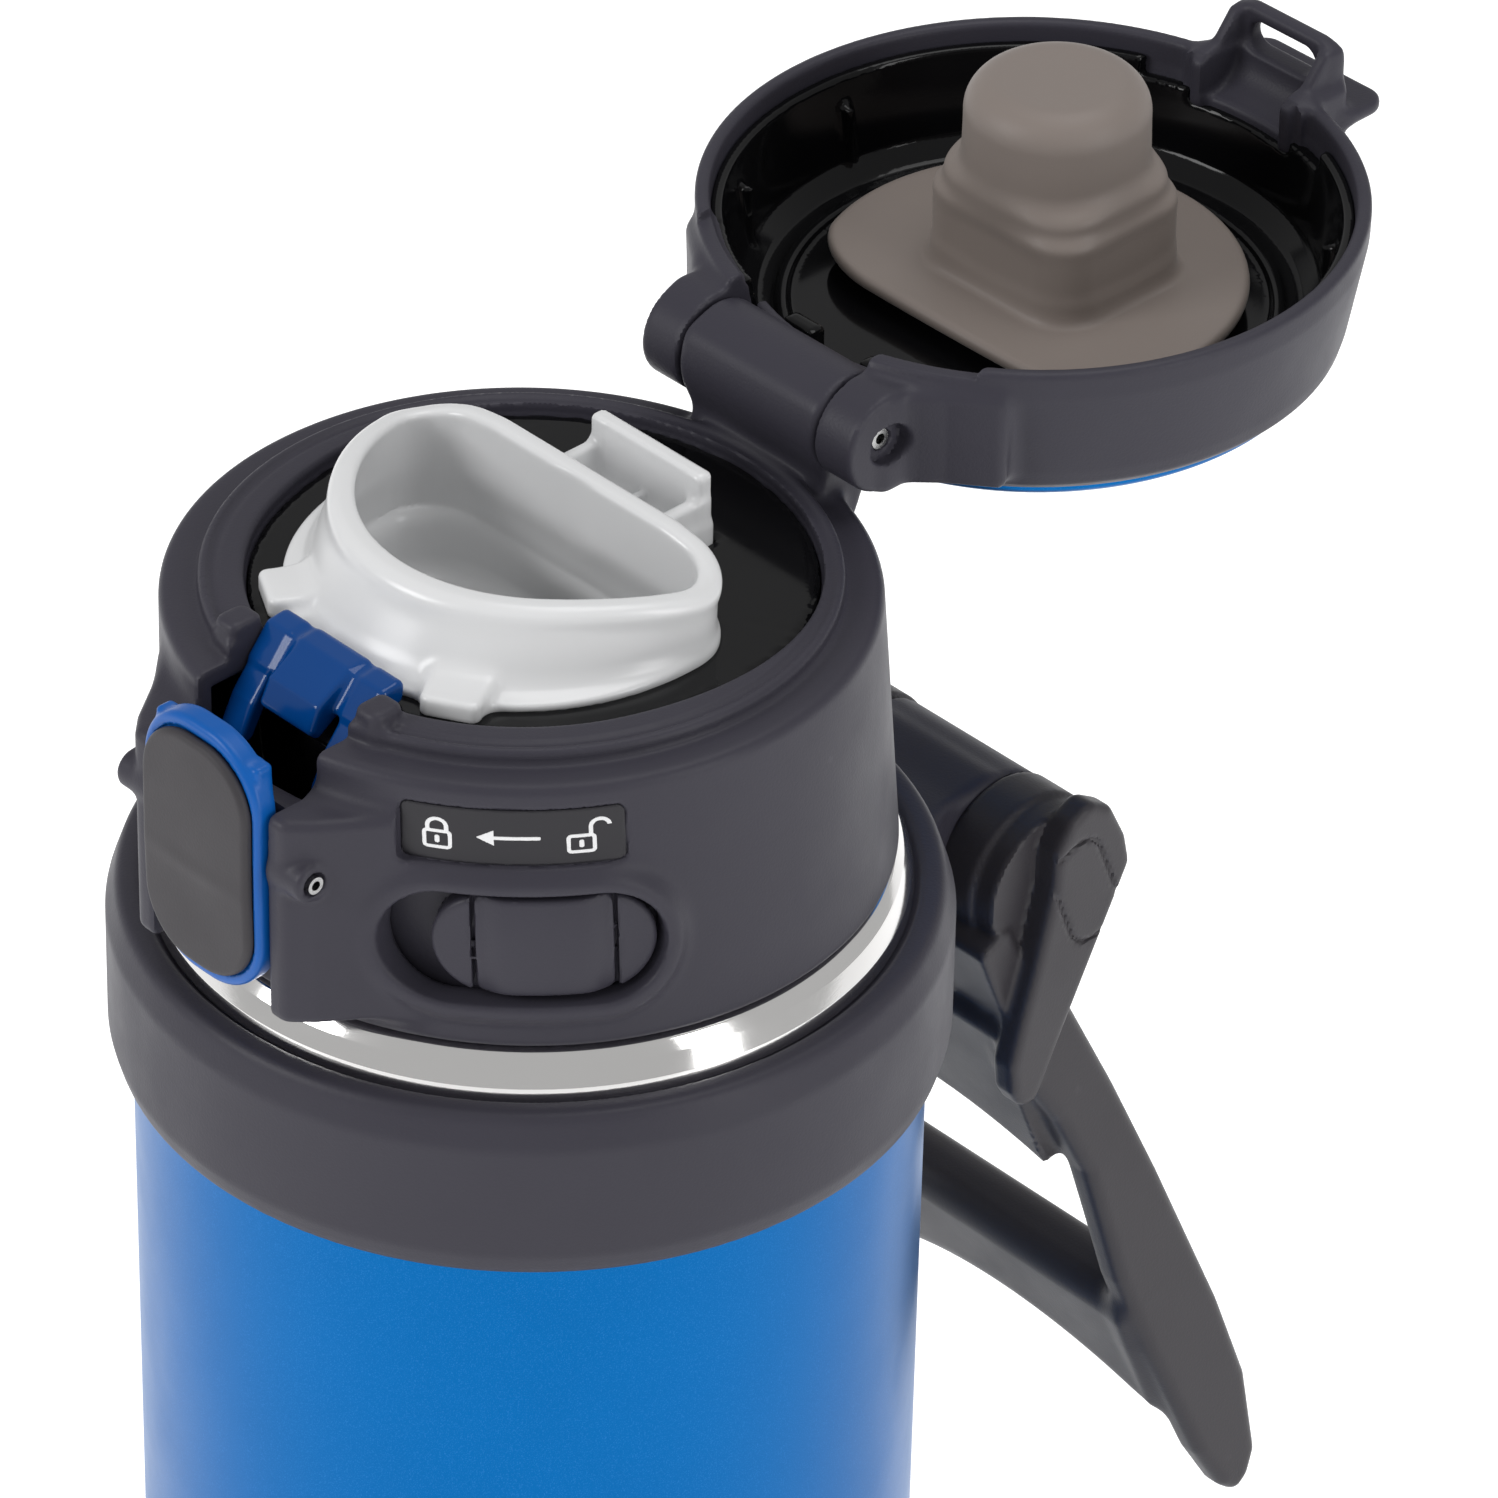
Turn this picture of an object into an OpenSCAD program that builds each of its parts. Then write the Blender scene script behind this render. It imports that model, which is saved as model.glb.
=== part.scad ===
// Large insulated water jug with a one-touch flip lid, a screw-in pouring cap and a fence-hook handle.
// The origin is the centre of the base on the table, +Z is up, the push button faces -Y and the lid's
// hinge and the handle are at +Y.  All sizes are in millimetres.

/* [Bottle] */
// Outer diameter of the painted body
body_d = 110; // [108:1:112]
// Height of the painted body up to the lower edge of the collar
body_h = 198; // [180:1:230]
// Height of the plastic collar that carries the handle
collar_h = 26; // [25:1:28]
// Height of the polished neck that shows between collar and cap
neck_show = 5.6; // [4:0.2:8]
// Wall of the outer steel shell
shell_t = 0.8; // [0.6:0.1:1.2]

/* [Cap] */
// Height of the cap's side wall, from the mouth rim to the ledge the lid shuts on
cap_h = 41.8; // [41:0.2:43]
// Radius of the ledge around the cap's top
ledge_r = 48.3; // [47.6:0.1:49]
// Outer radius of the screw-in plug, over its threads
plug_r = 45.6; // [45:0.1:45.8]
// Height of the spout's rim above the ledge
spout_h = 12.5; // [12:0.1:13]
// Half the width of the spout
spout_r = 31; // [30:0.1:31.4]

/* [Lid] */
// Outer radius of the lid's rim
lid_r = 46.6; // [46:0.1:46.9]
// Height of the closed lid above the ledge
lid_h = 24; // [23.5:0.1:25]
// How far the lid is turned open, 0 is shut
lid_open = 179; // [0:1:179]

/* [Button and lock] */
// Width of the push button
button_w = 21.8; // [20:0.2:22.2]
// Height of the push button
button_h = 39.3; // [38:0.1:40]
// Angle of the lock slider round the jug, from the front towards +X
lock_at = 50.3; // [49:0.1:51]

/* [Handle] */
// Length of the handle from its pivot to the tips of its legs
handle_len = 124; // [118:1:128]
// Angle between the hanging handle and the upright
handle_tilt = 21.9; // [18:0.1:24]
// Angle by which each leg spreads sideways
leg_spread = 7; // [5:0.5:8]

/* [Hidden] */
$fn = 96;
eps = 0.01;
gap = 0.1;

body_r = body_d / 2;
neck_r = body_r - 4.2;             // polished neck
mouth_r = neck_r - 4.4;            // clear opening of the bottle
lip_z = body_h + collar_h;         // top of the collar
rim_z = lip_z + neck_show;         // rolled steel rim
vessel_r = body_r - 3;             // outer radius of the inner steel vessel
vessel_t = 0.7;                    // its wall
cap_z = rim_z + 0.4;               // lower edge of the cap
ledge_z = cap_z + cap_h;           // ledge under the lid
deck_z = ledge_z + 0.6;            // glossy deck round the spout
top_y = -2;                        // the cap's top is set 2 mm forward of the jug's axis
cap_lean = atan(-top_y / cap_h);   // so its wall leans forward a little
cap_t = 2.6;                       // wall of the cap
ridge_r = 43.3;                    // outer radius of the low ridge on the ledge
deck_r = 36.5;                     // glossy deck inside the ridge
spout_y = -3;                      // centre of the spout's round front
flat_y = 10.3;                     // rear face of the spout's flat wall
outlet_y = -7;                     // centre of the pouring hole
outlet_r = 14.6;                   // its radius
stop_y = -6;                       // centre of the lid's stopper
stop_r = 13.3;                     // radius of its nose
well_r = 30.4;                     // round front of the well
well_z = ledge_z - 22;             // floor of the well the spout stands in
dome_r = 30;                       // hollow of the plug under that floor
rim_top = ledge_z + spout_h;       // rim of the spout
hinge_y = 46;                      // lid hinge, behind and above the ledge
hinge_z = ledge_z + 10.6;
barrel_r = 7.2;                    // hinge knuckle
knuckle_x = 13;                    // half its width
ear_x = 20.5;                      // outer faces of the lid's ears
pin_r = 1.5;                       // hinge pin
run_fit = 0.05;                    // radial play of every pin in the part that turns on it
lid_y = -1.6;                      // centre of the shut lid
lid_z = ledge_z + 0.2;             // rim plane of the shut lid
lid_top = ledge_z + lid_h;
lid_t = 2.2;                       // wall of the lid
cover_z = lid_top - lid_t;         // seat of the lid's top cover
cover_r = lid_r - 5.6;
button_y = -59.2;                  // front face of the button's frame
button_z0 = ledge_z + 3.7 - button_h;
rock_y = -55;                      // axis the button rocks on
rock_z = ledge_z - 14.7;
rock_pin_r = 1.25;
pocket_x = 11.8;                   // half width of the button's pocket
pocket_y = -50.4;                  // its rear wall
loop_y = -36.2;                    // rear of the pocket the lid's loop drops into
pocket_z = ledge_z - 10.5;         // its floor
house_x = 17.4;                    // half width of the housing beside the button
house_y = -57.6;                   // its front face
latch_y = -53.6;                   // front face of the lid's loop
window_at = 47;                    // middle of the lock's window round the jug
housing_z0 = cap_z + 3.6;          // lower end of that housing
window_w = 37.4;                   // window the slider runs in
window_h = 17.8;
window_z = ledge_z - 24.8;
plate_at = 46;                     // middle of the icon plate round the jug
plate_z = ledge_z - 7.8;
slide_h = 16.4;                    // lock slider
slide_w = 31.2;
spout_lean = 29;                   // backward lean of the spout's front wall
arm_y = 78;                        // handle pivot
arm_z = body_h - 2;
arm_r = 12;                        // barrel of the collar's arm
arm_x = 12.5;                      // half its width
boss_x = 28.5;                     // outer faces of the handle's bosses
grip_pin_r = 3;

blue = "steelblue";
dark = "dimgray";
black = [0.12, 0.12, 0.13];
steel = "silver";
pale = "gainsboro";
taupe = [0.5, 0.47, 0.45];

// ---- shapes used more than once ----

// A ring about the jug's axis
module ring(r_out, r_in, z0, z1, y = 0) {
  translate([0, y, z0]) difference() {
    cylinder(r = r_out, h = z1 - z0);
    translate([0, 0, -1]) cylinder(r = r_in, h = z1 - z0 + 2);
  }
}

// A round bar along X
module x_bar(r, x0, x1, y, z) {
  translate([x0, y, z]) rotate([0, 90, 0]) cylinder(r = r, h = x1 - x0);
}

// A box given by its two corners
module block(a, b) {
  translate(a) cube(b - a);
}

// Half section of a round solid with rounded outer corners
module half_section(r, z0, z1, r_top = 0, r_low = 0) {
  translate([0, z0 + r_low]) square([r, z1 - z0 - r_top - r_low]);
  if (r_top > 0) {
    translate([0, z1 - r_top - eps]) square([r - r_top, r_top + eps]);
    translate([r - r_top, z1 - r_top]) circle(r_top);
  }
  if (r_low > 0) {
    translate([0, z0]) square([r - r_low, r_low + eps]);
    translate([r - r_low, z0 + r_low]) circle(r_low);
  }
}

// Rectangle about the origin with round corners
module round_rect(w, h, r) {
  square([w, h - 2 * r], center = true);
  square([w - 2 * r, h], center = true);
  for (x = [-1, 1], y = [-1, 1]) translate([x * (w / 2 - r), y * (h / 2 - r)]) circle(r);
}

// A round front about [0, cy] cut by a flat rear at y = flat, with rounded rear corners
module d_shape(r, cy, flat, corner) {
  rise = flat - corner - cy;
  side = sqrt((r - corner) * (r - corner) - rise * rise);
  tangent_y = cy + r * rise / (r - corner);
  intersection() {
    translate([0, cy]) circle(r);
    translate([-2 * r, cy - 2 * r]) square([4 * r, tangent_y - cy + 2 * r]);
  }
  translate([-side, flat - corner]) square([2 * side, corner]);
  for (s = [-1, 1]) translate([s * side, flat - corner]) circle(corner);
}

// A plate that stands across the radius at the given angle from the front, between two radii
module radial_prism(angle, r0, r1, z) {
  rotate([0, 0, angle]) translate([0, -r0, z]) rotate([90, 0, 0]) linear_extrude(r1 - r0) children();
}

// A sector of a ring between two angles from the front towards +X
module ring_sector(r_out, r_in, z0, z1, from, to) {
  translate([0, 0, z0]) rotate([0, 0, from - 90]) rotate_extrude(angle = to - from)
    translate([r_in, 0]) square([r_out - r_in, z1 - z0]);
}

// A coil of round wire about Z, standing on z = 0
module coil(r, wire, turns, height) {
  linear_extrude(height, twist = -360 * turns, slices = 16 * turns, $fn = 6)
    translate([r, 0]) circle(wire / 2, $fn = 6);
}

// ---- bottle ----

module outer_shell() color(blue) rotate_extrude() difference() {
  union() {
    half_section(body_r, 0, body_h + 2, 0, 4);
    polygon([[0, body_h + 2], [body_r, body_h + 2], [neck_r - 0.6, body_h + 9], [0, body_h + 9]]);
  }
  union() {
    half_section(body_r - shell_t, shell_t, body_h + 1.8, 0, 3.4);
    polygon([[0, body_h + 1.7], [body_r - shell_t, body_h + 1.7], [neck_r - 1.4, body_h + 8.8],
             [neck_r - 1.4, body_h + 10], [0, body_h + 10]]);
    translate([0, -1]) square([body_r - 8, 4]);
  }
}

module inner_vessel() color(steel) rotate_extrude() difference() {
  union() {
    half_section(vessel_r, 6, body_h - 6, 0, 6);
    polygon([[0, body_h - 6.01], [vessel_r, body_h - 6.01], [mouth_r + vessel_t, body_h + 2],
             [0, body_h + 2]]);
    translate([0, body_h]) square([mouth_r + vessel_t, rim_z - body_h - 2]);
    half_section(neck_r, body_h + 9.1, rim_z, 1.6, 0);
  }
  union() {
    half_section(vessel_r - vessel_t, 6 + vessel_t, body_h - 6.2, 0, 5.4);
    polygon([[0, body_h - 6.21], [vessel_r - vessel_t, body_h - 6.21], [mouth_r, body_h + 1.8],
             [0, body_h + 1.8]]);
    translate([0, body_h + 1]) square([mouth_r, collar_h + 20]);
    // the gap between the vessel and its rolled rim
    translate([mouth_r + vessel_t, body_h + 3]) square([neck_r - mouth_r - 1.5, rim_z - body_h - 5]);
  }
}

module base_plate() color(steel) difference() {
  translate([0, 0, shell_t + gap]) cylinder(r = body_r - 5.6, h = 0.8);
  cylinder(r = 16, h = shell_t + gap + 0.3);
}

module collar_section() {
  difference() {
    half_section(body_r + 3.2, body_h, lip_z, 2.6, 1);
    polygon([[0, body_h - 1], [body_r + gap, body_h - 1], [body_r + gap, body_h + 2.2],
             [neck_r + gap, body_h + 9.2], [neck_r + gap, lip_z + 1], [0, lip_z + 1]]);
    translate([neck_r - 1, lip_z - 0.8]) square([3, 2]);
  }
}

module handle_collar() color(dark) difference() {
  union() {
    rotate_extrude() collar_section();
    x_bar(arm_r, -arm_x, arm_x, arm_y, arm_z);
    difference() {
      union() {
        block([-arm_x, body_r, arm_z - 3], [arm_x, arm_y, arm_z + arm_r]);
        translate([0, 0, arm_z - 3]) rotate([0, 0, 68]) rotate_extrude(angle = 44)
          square([body_r + 8, 3 + arm_r]);
      }
      translate([0, 0, arm_z - 20]) cylinder(r = body_r + 2.4, h = 60);
    }
  }
  x_bar(grip_pin_r, -arm_x - 1, arm_x + 1, arm_y, arm_z);
}

module handle_pin() color(steel) x_bar(grip_pin_r, -boss_x + 2.6, boss_x - 2.6, arm_y, arm_z);

// ---- handle, drawn hanging straight down from its pivot at the origin, outward is +Y ----

module leg_side() {
  polygon([[-14, -12], [-18.4, -26], [-16.6, -40], [-16.4, -50], [-17.8, -60], [-19.6, -72], [-20.4, -88],
           [-20, -114], [-18.6, 4 - handle_len], [-16.6, -handle_len], [-13.4, 1 - handle_len],
           [-10.8, 4 - handle_len], [-6.4, 17 - handle_len], [-5.2, -90], [-4.8, -60], [-5, -40], [-6, -19]]);
}

// Outline of the plate that links boss and leg: it runs from the boss's top to a hook at the leg's inner edge
module link_side() {
  polygon([[7.3, 12.6], [3.4, 11.5], [0.4, 9.4], [-4.2, 6], [-5.8, 1], [-6.8, -3], [-9.9, -7.2],
           [-14.6, -13.3], [-19.2, -19.6], [-20.6, -24.5], [-20.1, -27.9], [-18, -29.6], [-16, -28.6],
           [-6.1, -19.7], [10.6, -4], [11.6, 1], [10.9, 6.6]]);
}

module handle_leg(side) {
  mirror([side < 0 ? 1 : 0, 0, 0]) difference() {
    union() {
      x_bar(12.4, arm_x + 0.4, boss_x - 8, 0, 0);
      x_bar(6.6, arm_x + 1, boss_x, 0, 0);
      translate([boss_x - 8.1, 0, 0]) rotate([90, 0, 90]) linear_extrude(8.1) link_side();
      translate([boss_x - 12, 0, 0]) rotate([0, -leg_spread, 0]) rotate([90, 0, 90])
        linear_extrude(7.2) leg_side();
      block([arm_x + 0.6, -17.5, -22], [boss_x - 6, -7, -4]);
    }
    x_bar(grip_pin_r + run_fit, arm_x - 1, boss_x + 1, 0, 0);
    x_bar(5, boss_x - 2.6, boss_x + 8, 0, 0);
  }
}

module carry_handle() color(dark) translate([0, arm_y, arm_z]) rotate([handle_tilt, 0, 0]) {
  for (side = [-1, 1]) handle_leg(side);
  // web under the pivot, with an arched lower edge
  difference() {
    block([-23, -17.5, -58], [23, -10.5, -16.5]);
    translate([0, 0, -94]) rotate([90, 0, 0]) cylinder(r = 50, h = 40);
    block([-arm_x - 0.6, -30, -19], [arm_x + 0.6, 0, 0]);
  }
  // grip between the legs
  difference() {
    block([-29, -19.6, -108], [29, -9.6, -78]);
    translate([0, 0, -148]) rotate([90, 0, 0]) cylinder(r = 50, h = 60);
  }
}

module handle_pin_caps() color(dark) for (s = [0, 1]) mirror([s, 0, 0])
  x_bar(4.95, boss_x - 2.55, boss_x - 0.2, arm_y, arm_z);

// ---- cap ----

module mouth_gasket() color(taupe) ring(mouth_r - 0.3, plug_r - 3.4, body_h + 6.4, body_h + 9.9);

// The cap's wall: a cone that leans forward, cut level at both ends
module cap_wall(inset, z0, z1) {
  intersection() {
    translate([0, 0, cap_z]) rotate([cap_lean, 0, 0]) translate([0, 0, -10])
      cylinder(r1 = neck_r - 0.5 - inset + 0.47, r2 = ledge_r - inset - 0.47, h = cap_h + 20);
    block([-70, -70, z0], [70, 70, z1]);
  }
}

module window_shape(grow) {
  round_rect(window_w + 2 * grow, window_h + 2 * grow, window_h / 2 + grow - eps);
}

// Pocket behind the button's top, which the lid's loop drops into
module loop_pocket() {
  block([-pocket_x, -70, pocket_z], [pocket_x, loop_y, ledge_z + 9]);
}

module cap_shell() color(dark) difference() {
  union() {
    difference() {
      cap_wall(0, cap_z, ledge_z);
      cap_wall(cap_t, cap_z - 1, ledge_z - 3);
    }
    ring(ridge_r, deck_r + 0.7, ledge_z - 1, ledge_z + 2.2, top_y);
    difference() {
      translate([0, 0, housing_z0]) linear_extrude(ledge_z - 6 - housing_z0)
        polygon([[-25, -42], [-house_x, house_y + 3.4], [3 - house_x, house_y],
                 [house_x - 3, house_y], [house_x, house_y + 3.4], [25, -42]]);
      cap_wall(cap_t, cap_z - 1, ledge_z - 3);
    }
    intersection() {
      radial_prism(window_at, 44, 60, window_z) window_shape(2.3);
      ring(51.8, 46.8, cap_z, ledge_z);
    }
    x_bar(2.4, -house_x - 0.8, house_x + 0.8, rock_y + 0.2, rock_z);
    x_bar(barrel_r, -knuckle_x, knuckle_x, hinge_y, hinge_z);
    // root of the hinge knuckle
    difference() {
      translate([-knuckle_x, 0, 0]) rotate([90, 0, 90]) linear_extrude(2 * knuckle_x)
        polygon([[43, ledge_z - 12], [43, ledge_z + 2], [hinge_y - 5, hinge_z - 5],
                 [hinge_y - 5, hinge_z + 5], [hinge_y + 5, hinge_z - 5], [47.4, ledge_z - 4]]);
      cap_wall(cap_t, cap_z - 1, ledge_z - 3);
    }
  }
  // pocket of the button
  block([-pocket_x, -70, cap_z - 1], [pocket_x, pocket_y, ledge_z + 9]);
  loop_pocket();
  // way in for the button's latch leg
  block([8, pocket_y - 0.6, button_z0 + 3], [pocket_x, -45, button_z0 + 14]);
  radial_prism(window_at, 40, 60, window_z) window_shape(0);
  x_bar(rock_pin_r, -house_x - 5, house_x + 5, rock_y, rock_z);
  x_bar(pin_r, -knuckle_x - 1, knuckle_x + 1, hinge_y, hinge_z);
  // room for the hinge spring
  x_bar(4.4, -8, 8, hinge_y, hinge_z);
  // seat of the deck
  translate([0, top_y, ledge_z - 4]) cylinder(r = deck_r + gap, h = 12);
}

module deck_opening() {
  d_shape(well_r, spout_y, flat_y + 0.9, 7);
  translate([-11.2, 5]) square([22.4, 18.6]);
}

module cap_core() color(black) difference() {
  union() {
    translate([0, top_y, ledge_z - 3.9]) cylinder(r = deck_r, h = deck_z - ledge_z + 3.9);
    translate([0, spout_y, rim_z + 0.5]) cylinder(r = dome_r + 4.5, h = ledge_z - 4 - rim_z);
    ring(plug_r - 1.6, dome_r, rim_z + 0.5, rim_z + 3.4);
    ring(plug_r - 1.6, plug_r - 4.2, body_h + 10, rim_z + 1);
    ring(plug_r - 1.6, plug_r - 6, body_h + 10, body_h + 12);
    // threads
    for (k = [0:3]) ring(plug_r, plug_r - 3, body_h + 13 + 4 * k, body_h + 14.6 + 4 * k);
  }
  // the well for the spout, and the way up into it
  translate([0, 0, well_z]) linear_extrude(40) deck_opening();
  translate([0, outlet_y, cap_z - 20]) cylinder(r = outlet_r + 1, h = 60);
  translate([0, spout_y, rim_z]) cylinder(r = dome_r, h = well_z - 3 - rim_z);
  loop_pocket();
}

// The spout's wall above the ledge: round in front, leaning back towards a flat rear wall
module spout_wall(inset, z0, z1) {
  intersection() {
    translate([0, flat_y - inset - 35, z0]) linear_extrude(z1 - z0)
      round_rect(2 * (spout_r - inset), 70, 7 - inset);
    translate([0, flat_y - 0.4, rim_top]) rotate([-spout_lean, 0, 0]) translate([0, 0, -40])
      cylinder(r = spout_r - inset, h = 80);
  }
}

module spout() color(pale) difference() {
  union() {
    translate([0, 0, well_z + 5]) linear_extrude(ledge_z - 3.4 - well_z)
      d_shape(well_r - 0.3, spout_y, flat_y + 0.6, 7);
    spout_wall(0, deck_z + run_fit, rim_top);
    // pull tab behind the spout
    block([-10.8, 8, well_z + 8], [10.8, 22.8, ledge_z + 4]);
    block([-10.8, 20.4, ledge_z + 3], [10.8, 22.8, rim_top - 1]);
    // ears that key the spout to the deck
    for (s = [-1, 1]) translate([s * 16.5, -29, ledge_z + 0.8]) rotate([0, 0, s * 30])
      translate([-3.2, -4, 0]) cube([6.4, 9, 2]);
  }
  spout_wall(2.2, ledge_z - 0.5, rim_top + 1);
  translate([0, 0, well_z + 8]) linear_extrude(ledge_z - well_z - 8)
    d_shape(well_r - 3, spout_y, flat_y - 2.2, 5);
  translate([0, outlet_y, well_z]) cylinder(r = outlet_r, h = 20);
  block([-8.6, 10.6, ledge_z + 1.6], [8.6, 20.2, ledge_z + 20]);
}

module spout_gasket() color(taupe) ring(19.5, 16, well_z + gap, well_z + 4.9, outlet_y);

module spout_clip() color("royalblue") {
  z = ledge_z;
  strap = [[-32.9, z + 4], [-36.8, z + 3.6], [-43.4, z - 4.6], [-46.2, z - 10.2], [-43.6, z - 10.2],
           [-41, z - 5.6], [-36.8, z + 0.9], [-34, z + 1]];
  tongue = [[-32.9, z + 4], [-36.8, z + 3.6], [-43.2, z - 2.4], [-42, z - 4.2], [-36.8, z + 0.9],
            [-34, z + 1]];
  plate = [[-32.9, z + 4], [-36.8, z + 3.6], [-38, z + 2.1], [-37, z + 0.9], [-34, z + 1]];
  for (x = [-11.4, 8]) translate([x, 0, 0]) rotate([90, 0, 90]) linear_extrude(3.4) polygon(strap);
  translate([-4.6, 0, 0]) rotate([90, 0, 90]) linear_extrude(9.2) polygon(tongue);
  translate([-9, 0, 0]) rotate([90, 0, 90]) linear_extrude(18) polygon(plate);
}

module icon_plate() color([0.2, 0.2, 0.21]) intersection() {
  radial_prism(plate_at, 44, 60, plate_z) round_rect(28.4, 8, 1.2);
  difference() {
    cap_wall(-0.45, cap_z, ledge_z);
    cap_wall(-0.02, cap_z - 1, ledge_z + 1);
  }
}

// A padlock 4 mm tall, its shackle moved aside by open_by
module padlock(open_by) {
  difference() {
    translate([0, -1.1]) square([3.6, 3], center = true);
    translate([0, -1.1]) square([2.7, 2.1], center = true);
  }
  translate([0, -1.1]) circle(0.45);
  translate([open_by, 0.4 + open_by / 4]) difference() {
    union() {
      circle(1.35);
      translate([-1.35, -0.8]) square([2.7, 0.8]);
    }
    circle(0.85);
    translate([-0.85, -1]) square([1.7, 1.01]);
    if (open_by > 0) translate([0.4, -1]) square([1.2, 0.9]);
  }
}

module lock_icons() color("white") intersection() {
  union() {
    radial_prism(plate_at - 11.4, 44, 60, plate_z + 0.2) padlock(0);
    radial_prism(plate_at + 11, 44, 60, plate_z + 0.2) padlock(1.7);
    // arrow
    radial_prism(plate_at, 44, 60, plate_z) {
      translate([-2.4, -0.3]) square([6.4, 0.6]);
      polygon([[-4.2, 0], [-2, 1], [-2, -1]]);
    }
  }
  difference() {
    cap_wall(-0.6, cap_z, ledge_z);
    cap_wall(-0.46, cap_z - 1, ledge_z + 1);
  }
}

module button_pin() color(steel) difference() {
  x_bar(rock_pin_r, -house_x - 1.2, house_x + 1.2, rock_y, rock_z);
  x_bar(0.7, -house_x - 2, house_x + 2, rock_y, rock_z);
}

module button_spring() color(steel) for (s = [0, 1]) mirror([s, 0, 0])
  translate([2, rock_y, rock_z]) rotate([0, 90, 0]) coil(1.75, 0.6, 6, 4.4);

module hinge_pin() color(steel) difference() {
  x_bar(pin_r, -ear_x + 1.6, ear_x - 1.6, hinge_y, hinge_z);
  x_bar(0.8, -ear_x, ear_x, hinge_y, hinge_z);
}

module hinge_spring() color(steel) translate([-7, hinge_y, hinge_z]) rotate([0, 90, 0]) coil(2.9, 1, 9, 14);

// ---- lock slider ----

module lock_slider() color(dark) {
  intersection() {
    radial_prism(lock_at, 44, 60, window_z) round_rect(slide_w, slide_h, slide_h / 2 - eps);
    ring(50.4, 46, cap_z, ledge_z);
  }
  ring_sector(46.3, 44.4, window_z - 11.6, window_z + 11.6, 22, 79);
  intersection() {
    radial_prism(lock_at, 44, 60, window_z) square([slide_w - 14, slide_h - 0.6], center = true);
    ring(51.2, 47, cap_z, ledge_z);
  }
}

// ---- button ----

// A plate of the button's outline, from y back towards +Y, its middle raised by up
module button_plate(y, t, w, h, r, up = 0) {
  translate([0, y + t, button_z0 + button_h / 2 + up]) rotate([90, 0, 0])
    linear_extrude(t) round_rect(w, h, r);
}

module button_frame() color("royalblue") difference() {
  union() {
    button_plate(button_y, 2.4, button_w, button_h, 8.8);
    button_plate(button_y + 2, 3, button_w - 3, button_h - 12, 8, -5);
    // eyes on the pin
    for (s = [0, 1]) mirror([s, 0, 0]) {
      block([7, rock_y - 3, rock_z - 2.2], [10.6, rock_y, rock_z + 2.2]);
      x_bar(2.2, 7, 10.6, rock_y, rock_z);
    }
    // leg that the lock slider blocks, and the nose that holds the lid's loop
    block([8.6, button_y + 3, button_z0 + 5.4], [10.6, -47.6, button_z0 + 10.4]);
    block([-5, button_y + 2, ledge_z - 3], [5, latch_y - 0.9, ledge_z - 0.8]);
  }
  x_bar(rock_pin_r + run_fit, -13, 13, rock_y, rock_z);
  x_bar(2.4, -6.9, 6.9, rock_y, rock_z);
  button_plate(button_y - 3, 4, button_w - 3.2, button_h - 3.2, 7.2);
}

module button_pad() color(dark) difference() {
  button_plate(button_y - 0.8 - gap / 2, 1.8, button_w - 3.4, button_h - 3.4, 7.1);
  // shallow thumb rest
  translate([0, button_y - 29.6, button_z0 + 9]) sphere(29);
}

// ---- lid: drawn shut, then turned open about the hinge ----

module opened(angle) {
  translate([0, hinge_y, hinge_z]) rotate([-angle, 0, 0]) translate([0, -hinge_y, -hinge_z]) children();
}

// Half section of the lid's outer form
module lid_form(inset, low) {
  top = cover_z - inset;
  side = lid_r - inset;
  polygon([[0, low], [side, low], [side, lid_z + 4], [side - 2.3, top - 4], [side - 6.3, top - 4],
           [0, top - 4]]);
  translate([0, top - 4 - eps]) square([side - 6.3, 4 + eps]);
  translate([side - 6.3, top - 4]) circle(4);
}

// Space the cap's knuckle takes in the lid's rear wall
module knuckle_gap() {
  block([-knuckle_x - 0.4, hinge_y - 9.4, lid_z - 1], [knuckle_x + 0.4, 70, lid_top + 2]);
}

module lid_shell() color(dark) opened(lid_open) difference() {
  union() {
    translate([0, lid_y, 0]) rotate_extrude() lid_form(0, lid_z);
    // latch: a block on the rim, the loop below it and the thumb lip in front
    block([-11.2, latch_y, lid_z + 0.3], [11.2, -36, lid_z + 9]);
    block([-9.4, latch_y, lid_z - 5.6], [9.4, latch_y + 1.9, lid_z + 1]);
    block([-12, latch_y - 7, lid_z + 4.2], [12, -50, lid_z + 6.2]);
    // ears beside the cap's knuckle
    for (s = [0, 1]) mirror([s, 0, 0]) {
      x_bar(7.4, knuckle_x + 0.4, ear_x, hinge_y, hinge_z);
      translate([0, 0, lid_z + 3]) linear_extrude(cover_z - lid_z - 5.5)
        polygon([[knuckle_x + 0.4, 36], [knuckle_x + 0.4, hinge_y], [ear_x, hinge_y], [ear_x, 42],
                 [27.5, 34]]);
    }
  }
  translate([0, lid_y, 0]) rotate_extrude() lid_form(lid_t, lid_z - 1);
  translate([0, lid_y, cover_z - 1.6]) cylinder(r = cover_r + gap, h = 8);
  knuckle_gap();
  // relief under the rear rim, which swings over the cap's ridge
  block([-27, 26, lid_z - 1], [27, 50, lid_z + 1.4]);
  block([-9.4, latch_y + 2, lid_z - 1], [9.4, -40, lid_z + 7]);
  block([-7, -60, lid_z - 4], [7, -50, lid_z + 1.2]);
  x_bar(pin_r + run_fit, -30, 30, hinge_y, hinge_z);
  // counterbores at the pin's ends
  for (s = [0, 1]) mirror([s, 0, 0]) x_bar(2.7, ear_x - 1.5, ear_x + 2, hinge_y, hinge_z);
}

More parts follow.
